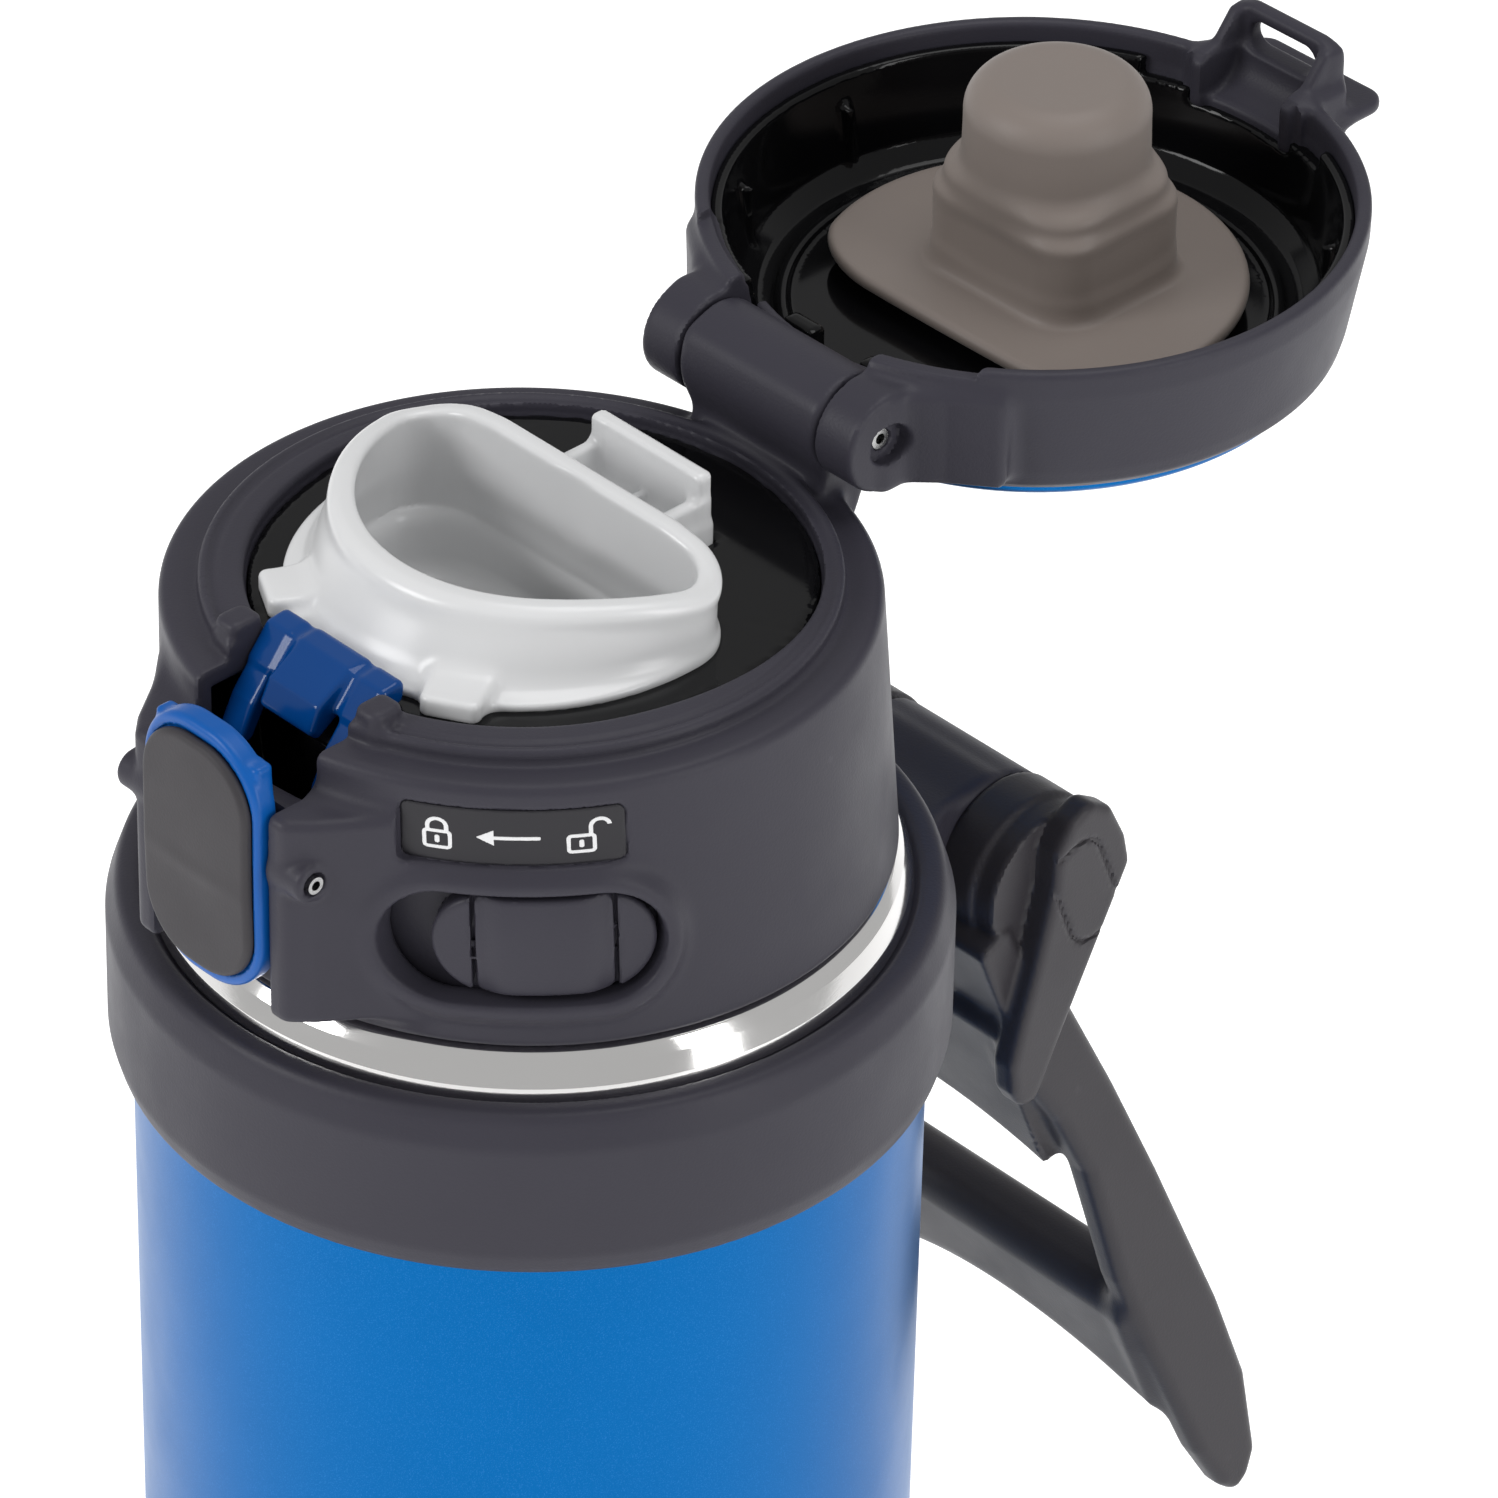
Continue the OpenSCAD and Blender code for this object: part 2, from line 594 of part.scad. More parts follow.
module lid_cover() color(blue) opened(lid_open) translate([0, lid_y, 0]) rotate_extrude() difference() {
  half_section(cover_r, cover_z - 1.5, lid_top, 1.8, 0);
  translate([-1, cover_z - 2]) square([37, 2]);
}

module lid_liner() color(black) opened(lid_open) difference() {
  union() {
    difference() {
      translate([0, lid_y, 0]) rotate_extrude() lid_form(lid_t + run_fit, lid_z + 3);
      translate([0, lid_y, 0]) rotate_extrude() lid_form(3.8, lid_z + 2);
    }
    ring(13, 11.6, rim_top + 4.4, cover_z - 3, outlet_y);
    for (r = [32, 36]) ring(r, r - 1, cover_z - 4.6, cover_z - 3.2, lid_y);
  }
  knuckle_gap();
  block([-9.6, -60, lid_z - 1], [9.6, -40, lid_z + 7.2]);
}

module stopper() color(taupe) opened(lid_open) {
  translate([0, outlet_y, rim_top + 0.3]) cylinder(r = 11.5, h = cover_z - rim_top - 4.3);
  translate([0, 0, rim_top + 0.3]) linear_extrude(3.6) d_shape(spout_r - 1.4, spout_y + 1.4, flat_y + 6, 6);
  translate([0, stop_y, rim_top - 13]) linear_extrude(14) round_rect(29.4, 27, 7);
  translate([0, stop_y, 0]) rotate_extrude() half_section(stop_r, ledge_z - 16, rim_top - 10, 0, 6.4);
}

outer_shell();
inner_vessel();
base_plate();
handle_collar();
handle_pin();
carry_handle();
handle_pin_caps();
mouth_gasket();
cap_shell();
cap_core();
spout();
spout_gasket();
spout_clip();
icon_plate();
lock_icons();
button_pin();
button_spring();
hinge_pin();
hinge_spring();
lock_slider();
button_frame();
button_pad();
lid_shell();
lid_liner();
lid_cover();
stopper();
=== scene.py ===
import math
import bpy
import numpy as np
from mathutils import Matrix, Vector


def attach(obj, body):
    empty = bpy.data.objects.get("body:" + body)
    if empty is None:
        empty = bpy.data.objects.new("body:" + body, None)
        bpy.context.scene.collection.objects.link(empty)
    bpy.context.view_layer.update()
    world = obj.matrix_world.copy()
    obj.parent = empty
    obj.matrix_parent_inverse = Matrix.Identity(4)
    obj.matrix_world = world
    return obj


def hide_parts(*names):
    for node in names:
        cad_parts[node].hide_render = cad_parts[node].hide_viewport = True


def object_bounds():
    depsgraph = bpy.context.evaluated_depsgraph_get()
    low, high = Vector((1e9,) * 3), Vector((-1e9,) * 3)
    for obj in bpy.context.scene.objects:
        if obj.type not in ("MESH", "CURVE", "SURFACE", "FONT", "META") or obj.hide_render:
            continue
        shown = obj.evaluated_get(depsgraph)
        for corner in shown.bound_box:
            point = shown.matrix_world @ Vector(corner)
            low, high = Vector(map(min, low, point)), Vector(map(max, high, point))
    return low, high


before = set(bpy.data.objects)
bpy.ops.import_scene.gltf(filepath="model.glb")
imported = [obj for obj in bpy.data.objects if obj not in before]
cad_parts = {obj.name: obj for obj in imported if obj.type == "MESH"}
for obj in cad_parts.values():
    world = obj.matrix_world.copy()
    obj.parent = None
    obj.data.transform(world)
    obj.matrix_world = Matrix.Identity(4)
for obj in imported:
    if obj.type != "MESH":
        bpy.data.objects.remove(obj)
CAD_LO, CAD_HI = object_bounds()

COARSE = 1.0     # rough meshes for a first look
F = np.float32
FAR = 99                                # pushes a distance out of the way

# Heights and places in mm: +Z up, the button at -Y, the hinge and the handle at +Y
COLLAR_Z0, COLLAR_Z1 = 198.0, 224.0     # dark ring round the bottle's shoulder
RIM = 229.6                             # mouth of the steel vessel
CAP0, LEDGE = 230.0, 271.8              # foot of the cap's wall, and the ledge round its top
CAP_H = LEDGE - CAP0
DECK, WELL = 272.4, 249.8               # glossy deck, and the floor of the well under the spout
SPOUT_TOP = LEDGE + 12.5
HINGE_Y, HINGE_Z = 46.0, 282.4          # axis of the lid
LID_OPEN = 179.0                        # degrees from the shut lid to the open one
LID_TOP, COVER0 = 295.8, 293.6          # top and foot of the blue cover, with the lid shut
LATCH_Y = -53.6                         # front of the lid's latch, with the lid shut
TOP_Y, LID_Y = -2.0, -1.6               # centres of the cap's ledge and of the lid
OUTLET_Y, WELL_Y = -7.0, -3.0           # centres of the hole that pours and of the well
STOP_Y = -6.0                           # centre of the stopper
PIVOT_Y, PIVOT_Z = 78.0, 196.0          # axis of the handle
TILT = 21.9                             # how far the handle hangs out from straight down, in degrees
ROCK_Y, ROCK_Z = -55.0, 257.1           # axis of the button
BUTTON_Z, BUTTON_DOME = 254.7, 0.9      # middle of the button's face, and how far it crowns
WALL_R = 49.5                           # radius at which lengths along the cap's wall are taken
WIN_A, WIN_Z = 47.0, 247.0              # slider's window: degrees round from the button, and height
SLIDE_A = 50.3                          # the slider itself, at rest
PLATE_A, PLATE_Z = 46.0, 264.0          # inset plate with the pictograms
SPOUT_LEAN = math.radians(29)
MARK_A = math.radians(-47)              # the deck's small triangle, round from the hinge


# ---------------------------------------------------------------- shapes as distance fields

def length(*a):
    return np.sqrt(sum(v * v for v in a))


def join(a, b, k=0.0):
    """Union of two distances with a fillet of about k."""
    if k <= 0:
        return np.minimum(a, b)
    h = np.maximum(k - np.abs(a - b), 0) / k
    return np.minimum(a, b) - h * h * k * 0.25


def cut(a, b, k=0.0):
    return -join(-a, b, k)


def corner(a, b, r):
    """What two distances share, its edge rounded by r; both come with r already added."""
    return length(np.maximum(a, 0), np.maximum(b, 0)) + np.minimum(np.maximum(a, b), 0) - r


def keep(a, b, r):
    """What two distances share, its edge rounded by r."""
    return corner(a + r, b + r, r)


def within(w, lo, hi, r):
    """Distance along w to the stretch from lo to hi, with r already added."""
    return np.abs(w - (lo + hi) / 2) - ((hi - lo) / 2 - r)


def slab(d2, w, lo, hi, r=0.0):
    """A flat distance d2 stretched from lo to hi along w, with rounded edges."""
    return corner(d2 + r, within(w, lo, hi, r), r)


def rect(u, v, w, h, r):
    return corner(np.abs(u) - (w / 2 - r), np.abs(v) - (h / 2 - r), r)


def box(x, y, z, lo, hi, r=0.0):
    q = [within(p, l, h, r) for p, l, h in zip((x, y, z), lo, hi)]
    outside = length(*[np.maximum(v, 0) for v in q])
    return outside + np.minimum(np.maximum(np.maximum(q[0], q[1]), q[2]), 0) - r


def rounded(points, r, steps=5):
    """A closed outline with every corner rounded by up to r."""
    p = np.array(points, float)
    out = []
    n = len(p)
    for i in range(n):
        a, b, c = p[i - 1], p[i], p[(i + 1) % n]
        u, v = a - b, c - b
        lu, lv = np.linalg.norm(u), np.linalg.norm(v)
        u, v = u / lu, v / lv
        half = math.acos(max(-1, min(1, float(u @ v)))) / 2
        if half > 1.56:                 # hardly a corner
            out.append(b)
            continue
        t = min(r / math.tan(half), 0.49 * lu, 0.49 * lv)
        s, e = b + u * t, b + v * t
        for k in range(steps + 1):
            w = k / steps
            out.append((1 - w) ** 2 * s + 2 * w * (1 - w) * b + w * w * e)
    return out


def outline(u, v, points):
    """Signed distance to a closed outline."""
    best = np.full(u.shape, 1e9, F)
    inside = np.zeros(u.shape, bool)
    n = len(points)
    for i in range(n):
        (ax, ay), (bx, by) = points[i - 1], points[i]
        ex, ey = bx - ax, by - ay
        if ex * ex + ey * ey < 1e-12:
            continue
        t = np.clip(((u - ax) * ex + (v - ay) * ey) / (ex * ex + ey * ey), 0, 1)
        dx, dy = u - ax - t * ex, v - ay - t * ey
        best = np.minimum(best, dx * dx + dy * dy)
        if ey != 0:
            crosses = ((ay > v) != (by > v)) & (u < ex * (v - ay) / ey + ax)
            inside ^= crosses
    d = np.sqrt(best)
    return np.where(inside, -d, d).astype(F)


def rod_x(x, y, z, r, x0, x1, cy, cz, e=0.0):
    return slab(length(y - cy, z - cz) - r, x, x0, x1, e)


def bump(t, width):
    return np.exp(-(t / width) ** 2)


# ---------------------------------------------------------------- meshes

def net(f, lo, hi, h):
    """Surface of f = 0 as points and quads. Only blocks near it are sampled, and points are moved onto it."""
    h = h * COARSE
    lo = np.array(lo, float) - 2 * h
    block, batch = 8, 1500
    shape = [int(math.ceil((b - a + 2 * h) / h / block)) * block for a, b in zip(lo, hi)]
    value = np.empty(shape, F)
    counts = [n // block for n in shape]
    places = np.stack(np.meshgrid(*[np.arange(c) for c in counts], indexing="ij"), -1).reshape(-1, 3)
    centre = lo + (places + 0.5) * block * h
    d = f(*[centre[:, k].astype(F) for k in range(3)])
    grouped = value.reshape(counts[0], block, counts[1], block, counts[2], block)
    grouped[:] = np.where(d > 0, 9.0, -9.0).reshape(*counts)[:, None, :, None, :, None]
    # half a block is 0.87 of its side along the diagonal, and the fields are not exact
    near = np.abs(d) < block * h * 0.87 * 1.35 + 2 * h
    cell = np.stack(np.meshgrid(*[np.arange(block)] * 3, indexing="ij"), -1).reshape(-1, 3)
    picked = places[near]
    for s in range(0, len(picked), batch):
        part = picked[s:s + batch]
        index = (part[:, None, :] * block + cell[None]).reshape(-1, 3)
        p = lo + index * h
        value[index[:, 0], index[:, 1], index[:, 2]] = f(*[p[:, k].astype(F) for k in range(3)])
    inside = value < 0
    # one point in each cell that the surface crosses, in the middle of its crossings
    c = [slice(0, -1), slice(1, None)]
    corners = [(a, b, e) for a in (0, 1) for b in (0, 1) for e in (0, 1)]
    total = np.zeros([n - 1 for n in shape], np.int8)
    for a, b, e in corners:
        total += inside[c[a], c[b], c[e]]
    active = (total > 0) & (total < 8)
    cells = np.argwhere(active)
    number = np.full(active.shape, -1, np.int32)
    number[active] = np.arange(len(cells))
    sums = np.zeros((len(cells), 3))
    hits = np.zeros(len(cells))
    for p0 in corners:
        for axis in range(3):
            if p0[axis]:
                continue
            p1 = list(p0)
            p1[axis] = 1
            i0, i1 = cells + p0, cells + p1
            a = value[i0[:, 0], i0[:, 1], i0[:, 2]]
            b = value[i1[:, 0], i1[:, 1], i1[:, 2]]
            hit = (a < 0) != (b < 0)
            t = a[hit] / (a[hit] - b[hit])
            pos = np.array(p0, float)[None].repeat(hit.sum(), 0)
            pos[:, axis] += t
            sums[hit] += pos
            hits[hit] += 1
    verts = lo + (cells + sums / hits[:, None]) * h
    # one quad for each edge of a cell that the surface crosses
    quads = []
    for axis in range(3):
        o1, o2 = [(1, 2), (2, 0), (0, 1)][axis]
        first = [slice(None)] * 3
        second = [slice(None)] * 3
        first[axis], second[axis] = slice(0, -1), slice(1, None)
        change = inside[tuple(first)] != inside[tuple(second)]
        e = np.argwhere(change)
        e = e[(e[:, o1] > 0) & (e[:, o2] > 0) & (e[:, o1] < shape[o1] - 1) & (e[:, o2] < shape[o2] - 1)]
        ring = []
        for d1, d2 in ((1, 1), (0, 1), (0, 0), (1, 0)):
            q = e.copy()
            q[:, o1] -= d1
            q[:, o2] -= d2
            ring.append(number[q[:, 0], q[:, 1], q[:, 2]])
        ring = np.stack(ring, 1)
        start = inside[e[:, 0], e[:, 1], e[:, 2]]
        ring[~start] = ring[~start][:, ::-1]
        quads.append(ring[(ring >= 0).all(1)])
    quads = np.concatenate(quads)
    # onto the surface
    for _ in range(2):
        x, y, z = [verts[:, k].astype(F) for k in range(3)]
        e = F(0.05)
        d0 = f(x, y, z)
        g = np.stack([f(x + e, y, z) - d0, f(x, y + e, z) - d0, f(x, y, z + e) - d0], 1) / e
        g2 = np.maximum((g * g).sum(1), 0.3)
        step = g * (d0 / g2)[:, None]
        size = np.linalg.norm(step, axis=1)
        step *= np.minimum(1, 0.6 * h / np.maximum(size, 1e-6))[:, None]
        verts = verts - step
    return verts, quads


def lathe(points, n, r, cy=0.0):
    """A closed outline of (radius, z) points turned in n steps about an upright axis at y = cy."""
    p = np.array(rounded(points, r))
    ang = np.arange(n) * 2 * math.pi / n
    m = len(p)
    rad, cos, sin = p[None, :, 0], np.cos(ang)[:, None], np.sin(ang)[:, None]
    verts = np.stack([rad * cos, rad * sin + cy, np.broadcast_to(p[None, :, 1], (n, m))], -1).reshape(-1, 3)
    i, j = np.meshgrid(np.arange(n), np.arange(m), indexing="ij")
    i2, j2 = (i + 1) % n, (j + 1) % m
    quads = np.stack([i * m + j, i2 * m + j, i2 * m + j2, i * m + j2], -1).reshape(-1, 4)
    return verts, quads


def opened(shape):
    """The shape turned from the shut lid to the open one."""
    verts, quads = shape
    a = math.radians(LID_OPEN)
    y, z = verts[:, 1] - HINGE_Y, verts[:, 2] - HINGE_Z
    out = verts.copy()
    out[:, 1] = HINGE_Y + y * math.cos(a) + z * math.sin(a)
    out[:, 2] = HINGE_Z - y * math.sin(a) + z * math.cos(a)
    return out, quads


def piece(name, shape, body, nodes, look, sharp=40):
    """One visible piece from points in mm and quads, in the place of its CAD nodes."""
    verts, quads = shape
    verts = (verts * 0.001).astype(F)
    quads = quads.astype(np.int32)
    mesh = bpy.data.meshes.new(name)
    mesh.vertices.add(len(verts))
    mesh.vertices.foreach_set("co", verts.ravel())
    mesh.loops.add(quads.size)
    mesh.loops.foreach_set("vertex_index", quads.ravel())
    mesh.polygons.add(len(quads))
    mesh.polygons.foreach_set("loop_start", np.arange(0, quads.size, 4, dtype=np.int32))
    mesh.update(calc_edges=True)
    mesh.validate()
    mesh.polygons.foreach_set("use_smooth", np.ones(len(mesh.polygons), bool))
    mesh.set_sharp_from_angle(angle=math.radians(sharp))
    obj = bpy.data.objects.new(name, mesh)
    bpy.context.collection.objects.link(obj)
    mesh.materials.append(M[look])
    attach(obj, body)
    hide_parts(*nodes)


# ---------------------------------------------------------------- materials, all procedural

def material(name, color, rough, metal=0.0, coat=0.0, grain=0.0, grain_scale=2600.0, vary=0.06, wear=0.0,
             flakes=0.0, sheen=0.0, brushed=0.0, spec=0.5, subsurface=0.0, smudge=0.12):
    m = bpy.data.materials.new(name)
    m.use_nodes = True
    t = m.node_tree
    t.nodes.clear()
    new, link = t.nodes.new, t.links.new
    out = new("ShaderNodeOutputMaterial")
    b = new("ShaderNodeBsdfPrincipled")
    link(b.outputs["BSDF"], out.inputs["Surface"])
    b.inputs["Metallic"].default_value = metal
    b.inputs["Coat Weight"].default_value = coat
    b.inputs["Coat Roughness"].default_value = 0.12
    b.inputs["Specular IOR Level"].default_value = spec
    b.inputs["Sheen Weight"].default_value = sheen
    if subsurface:
        b.inputs["Subsurface Weight"].default_value = subsurface
        b.inputs["Subsurface Radius"].default_value = (0.002, 0.002, 0.002)
    coords = new("ShaderNodeTexCoord")

    def noise(scale, detail=3.0, coarse=0.5, stretch=None):
        tex = new("ShaderNodeTexNoise")
        tex.inputs["Scale"].default_value = scale
        tex.inputs["Detail"].default_value = detail
        tex.inputs["Roughness"].default_value = coarse
        src = coords.outputs["Object"]
        if stretch:
            mapping = new("ShaderNodeMapping")
            mapping.inputs["Scale"].default_value = stretch
            link(src, mapping.inputs["Vector"])
            src = mapping.outputs["Vector"]
        link(src, tex.inputs["Vector"])
        return tex

    def scaled(socket, lo, hi, a=0.3, c=0.7):
        r = new("ShaderNodeMapRange")
        r.inputs["From Min"].default_value = a
        r.inputs["From Max"].default_value = c
        r.inputs["To Min"].default_value = lo
        r.inputs["To Max"].default_value = hi
        link(socket, r.inputs["Value"])
        return r.outputs["Result"]

    # colour: slow drift, and a lighter, rubbed tone on edges where asked
    drift = noise(38.0, 4.0)
    mix = new("ShaderNodeMix")
    mix.data_type = "RGBA"
    mix.inputs["A"].default_value = (*[c * (1 - vary) for c in color], 1)
    mix.inputs["B"].default_value = (*[min(1, c * (1 + vary) + vary * 0.01) for c in color], 1)
    link(drift.outputs["Fac"], mix.inputs["Factor"])
    shade = mix.outputs["Result"]
    if flakes:
        specks = noise(5200.0, 1.0)
        glitter = new("ShaderNodeMix")
        glitter.data_type = "RGBA"
        glitter.inputs["B"].default_value = (*[min(1, c * 1.9 + 0.05) for c in color], 1)
        link(scaled(specks.outputs["Fac"], 0, flakes, 0.52, 0.75), glitter.inputs["Factor"])
        link(shade, glitter.inputs["A"])
        shade = glitter.outputs["Result"]
    if wear:
        geometry = new("ShaderNodeNewGeometry")
        spots = noise(260.0, 5.0, 0.65)
        both = new("ShaderNodeMath")
        both.operation = "MULTIPLY"
        link(scaled(geometry.outputs["Pointiness"], 0, 1, 0.52, 0.62), both.inputs[0])
        link(scaled(spots.outputs["Fac"], 0, wear, 0.35, 0.65), both.inputs[1])
        worn = new("ShaderNodeMix")
        worn.data_type = "RGBA"
        worn.inputs["B"].default_value = (*[min(1, c * 1.6 + 0.03) for c in color], 1)
        link(both.outputs[0], worn.inputs["Factor"])
        link(shade, worn.inputs["A"])
        shade = worn.outputs["Result"]
    link(shade, b.inputs["Base Color"])
    # roughness: smudges from handling
    rubs = noise(70.0, 5.0, 0.6)
    low, high = max(0.02, rough * (1 - smudge)), min(1, rough * (1 + smudge))
    link(scaled(rubs.outputs["Fac"], low, high), b.inputs["Roughness"])
    # bump: moulding grain, brushing or a hint of waviness
    relief = new("ShaderNodeBump")
    if brushed:
        heights = noise(900.0, 2.0, 0.5, (1, 1, 14))
        relief.inputs["Strength"].default_value = brushed
        relief.inputs["Distance"].default_value = 0.00006
    else:
        heights = noise(grain_scale if grain else 160.0, 2.0, 0.5)
        relief.inputs["Strength"].default_value = grain if grain else 0.03
        relief.inputs["Distance"].default_value = 0.00008 if grain else 0.0001
    link(heights.outputs["Fac"], relief.inputs["Height"])
    link(relief.outputs["Normal"], b.inputs["Normal"])
    return m


M = {
    "paint": material("blue lacquer", (0.0006, 0.112, 0.345), 0.36, metal=1.0, coat=0.05, flakes=0.22,
                      vary=0.04, smudge=0.08),
    "steel": material("polished steel", (0.82, 0.81, 0.8), 0.1, metal=1.0, brushed=0.03, vary=0.03,
                      smudge=0.35),
    "base": material("brushed base steel", (0.55, 0.55, 0.56), 0.3, metal=1.0, brushed=0.3),
    "pin": material("pin steel", (0.5, 0.5, 0.5), 0.24, metal=1.0, brushed=0.15),
    "spring": material("spring wire", (0.36, 0.36, 0.37), 0.3, metal=1.0, brushed=0.1),
    "dark": material("dark grained plastic", (0.037, 0.035, 0.047), 0.44, grain=0.4, wear=0.25,
                     vary=0.07, spec=0.2),
    "handle": material("dark handle plastic", (0.036, 0.033, 0.038), 0.42, grain=0.4, wear=0.3,
                       vary=0.07, spec=0.28),
    "black": material("glossy black plastic", (0.0025, 0.0025, 0.003), 0.1, vary=0.2, smudge=0.4,
                      spec=0.2),
    "pale": material("light grey plastic", (0.67, 0.674, 0.68), 0.25, grain=0.04, vary=0.015,
                     subsurface=0.12, smudge=0.06),
    "silicone": material("taupe silicone", (0.2, 0.168, 0.15), 0.5, grain=0.12, grain_scale=1500.0,
                         sheen=0.1, vary=0.05, spec=0.35),
    "clip": material("glossy blue plastic", (0.0, 0.045, 0.2), 0.12, vary=0.08, spec=0.3),
    "frame": material("satin blue plastic", (0.001, 0.09, 0.37), 0.33, grain=0.1, vary=0.06, spec=0.25),
    "pad": material("soft dark pad", (0.043, 0.04, 0.044), 0.5, grain=0.35, vary=0.06, spec=0.2),
    "plate": material("smooth dark inset", (0.022, 0.021, 0.025), 0.36, grain=0.08, vary=0.05, spec=0.25),
    "print": material("white print", (0.75, 0.75, 0.76), 0.45, grain=0.05, vary=0.03),
}


# ---------------------------------------------------------------- bottle

BODY = [(46, 0), (55, 0), (55, 200), (50.3, 208), (49.6, 208), (54.2, 199.6), (54.2, 0.8), (46, 0.8)]
VESSEL = [(0.01, 6.2), (50.9, 6.2), (51.6, 192), (47.0, 200), (47.0, 227.6), (49.6, 227.6), (49.6, 207.2),
          (50.75, 207.2), (50.75, 222.4), (52.75, 222.75), (52.1, 225.0), (50.9, 227.6), (49.7, 229.3),
          (48.6, RIM), (46.4, RIM), (46.4, 199.4), (50.9, 191), (50.2, 7.0), (0.01, 7.0)]
BASE = [(0.01, 1.1), (15.2, 1.1), (16.2, 0.9), (49.3, 0.9), (49.3, 1.7), (0.01, 1.7)]
COLLAR = rounded([(55.15, COLLAR_Z0), (57.4, COLLAR_Z0), (58.35, 201.5), (58.3, 219), (56.6, COLLAR_Z1),
                  (53.4, COLLAR_Z1), (52.9, 222.9), (51.05, 222.6), (51.05, 207.4), (55.15, 200.2)], 2.0)


def collar(x, y, z):
    rho = length(x, y)
    d = outline(rho, z, COLLAR)
    # arm towards the handle, wider at its root
    flare = 12.5 + 9.0 * np.clip((72 - y) / 16, 0, 1) ** 2
    arm = box(x * 12.5 / flare, y, z, (-12.5, 54, 190.5), (12.5, PIVOT_Y, 208), 1.5)
    arm = np.maximum(arm, 56.5 - rho)
    d = join(d, arm, 5)
    d = join(d, rod_x(x, y, z, 12, -12.5, 12.5, PIVOT_Y, PIVOT_Z, 0.5), 3)
    # below its top lip, the ring stays outside the bottle's own radius
    lip_z = 222
    d = np.maximum(d, (55.1 - rho) * np.where(z < lip_z, 1, 0) - FAR * (z >= lip_z))
    return cut(d, rod_x(x, y, z, 3.02, -14, 14, PIVOT_Y, PIVOT_Z))


piece("painted_body", lathe(BODY, 256, 3.2), "bottle", ["outer_shell"], "paint")
piece("steel_vessel", lathe(VESSEL, 256, 0.9), "bottle", ["inner_vessel"], "steel", 50)
piece("base_disc", lathe(BASE, 192, 0.25), "bottle", ["base_plate"], "base")
piece("collar", net(collar, (-59, -59, 184), (59, 90.5, 224), 0.75), "bottle", ["handle_collar"],
      "dark")


# ---------------------------------------------------------------- handle

# Outlines seen from the side, with the pin at (0, 0) and the handle hanging straight down
LEG = rounded([(-14, -12), (-17.4, -26), (-15.4, -38), (-14.8, -50), (-16.2, -60), (-18, -72), (-18.8, -88),
               (-18.8, -112), (-17.6, -121), (-15.8, -124.3), (-12.4, -123.2), (-9.4, -120), (-5.4, -106),
               (-4.2, -90), (-3.9, -60), (-4.2, -40), (-5.2, -19)], 3)
LINK = rounded([(8.3, 12.2), (4.2, 12.0), (0.4, 9.2), (-2.2, 3.6), (-6.4, -2.3), (-10.1, -7.4),
                (-14.8, -13.3), (-19.4, -19.6), (-20.8, -24.5), (-20.3, -28.2), (-17.6, -29.6),
                (-6.1, -19.2), (11.2, -4), (12.0, 1), (11.4, 8)], 2.5)
SPLAY = math.radians(7)


def handle(x, y, z):
    a = math.radians(TILT)
    y0, z0 = y - PIVOT_Y, z - PIVOT_Z
    w = y0 * math.cos(a) + z0 * math.sin(a)
    v = y0 * math.sin(a) - z0 * math.cos(a)
    ax = np.abs(x)
    lean = (ax - 16.4) * math.cos(SPLAY) - v * math.sin(SPLAY)
    leg = slab(outline(w, -v, LEG), lean, 1.8, 7.4, 2.0)
    web = slab(rect(w + 14, v - 36, 7.2, 40, 2.5), x, -24, 24, 0.5)
    web = slab(web, x, -24, 24, 0.5)    # a second time, which rounds its ends more
    web = cut(web, length(x, v - 95) - 51, 2.5)
    web = cut(web, box(ax, w, v, (-1, -40, 0), (13.1, 20, 18.5), 1.0), 1.0)
    grip = slab(rect(w + 14.4, v - 92, 10.4, 28, 4.2), x, -31, 31, 1.0)
    grip = cut(grip, length(x, v - 149) - 50.5, 6)
    lower = join(join(leg, web, 2.5), grip, 3)
    top = join(rod_x(ax, w, v, 12.3, 12.95, 20.2, 0, 0, 0.7), rod_x(ax, w, v, 11.6, 19.5, 24, 0, 0, 0.4), 0.6)
    top = join(top, slab(outline(w, -v, LINK), ax, 23.9, 28.5, 1.3), 1.2)
    stay = slab(rect(w + 12.4, v - 12.5, 6.2, 25, 1.6), ax, 13.6, 25, 0.8)
    top = join(top, stay, 1.2)
    d = join(top, lower, 1.0)
    seam = np.maximum(np.abs(rect(w - 2.4, v - 1.5, 9.6, 18.4, 4.2)) - 0.3, 28.05 - ax)
    d = cut(d, seam, 0.15)
    return cut(d, rod_x(x, w, v, 3.05, -27, 27, 0, 0))


piece("carry_handle_body", net(handle, (-40, 60, 73), (40, 120, 210), 0.62), "handle",
      ["carry_handle", "handle_pin_caps"], "handle")


# ---------------------------------------------------------------- cap

HOUSE = rounded([(-27, -41), (-17.6, -54.4), (-14.6, -57.5), (14.6, -57.5), (17.6, -54.4), (27, -41)], 2.4)
ROOT = rounded([(41, 262), (41, 275.5), (40.4, 287), (50, 286), (52, 277), (48.6, 268), (46, 262)], 1.5)


def cap_lean(z):
    """Where the cap's wall has its centre at height z."""
    return TOP_Y * (z - CAP0) / CAP_H


def cap_radius(z):
    return 50.2 - (z - CAP0) * 1.75 / CAP_H


def bearing(x, y):
    """Degrees round from the button."""
    return np.degrees(np.arctan2(x, -y))


def arc(angle, start, r):
    """Length along a circle of radius r from start to angle, in degrees."""
    return ((angle - start + 180) % 360 - 180) * np.pi / 180 * r


def around(x, y, z, angle, z0):
    """Position on the cap's side wall: distance along the wall, height, and radius."""
    y1 = y - cap_lean(z)
    return np.radians(bearing(x, y1) - angle) * WALL_R, z - z0, length(x, y1)


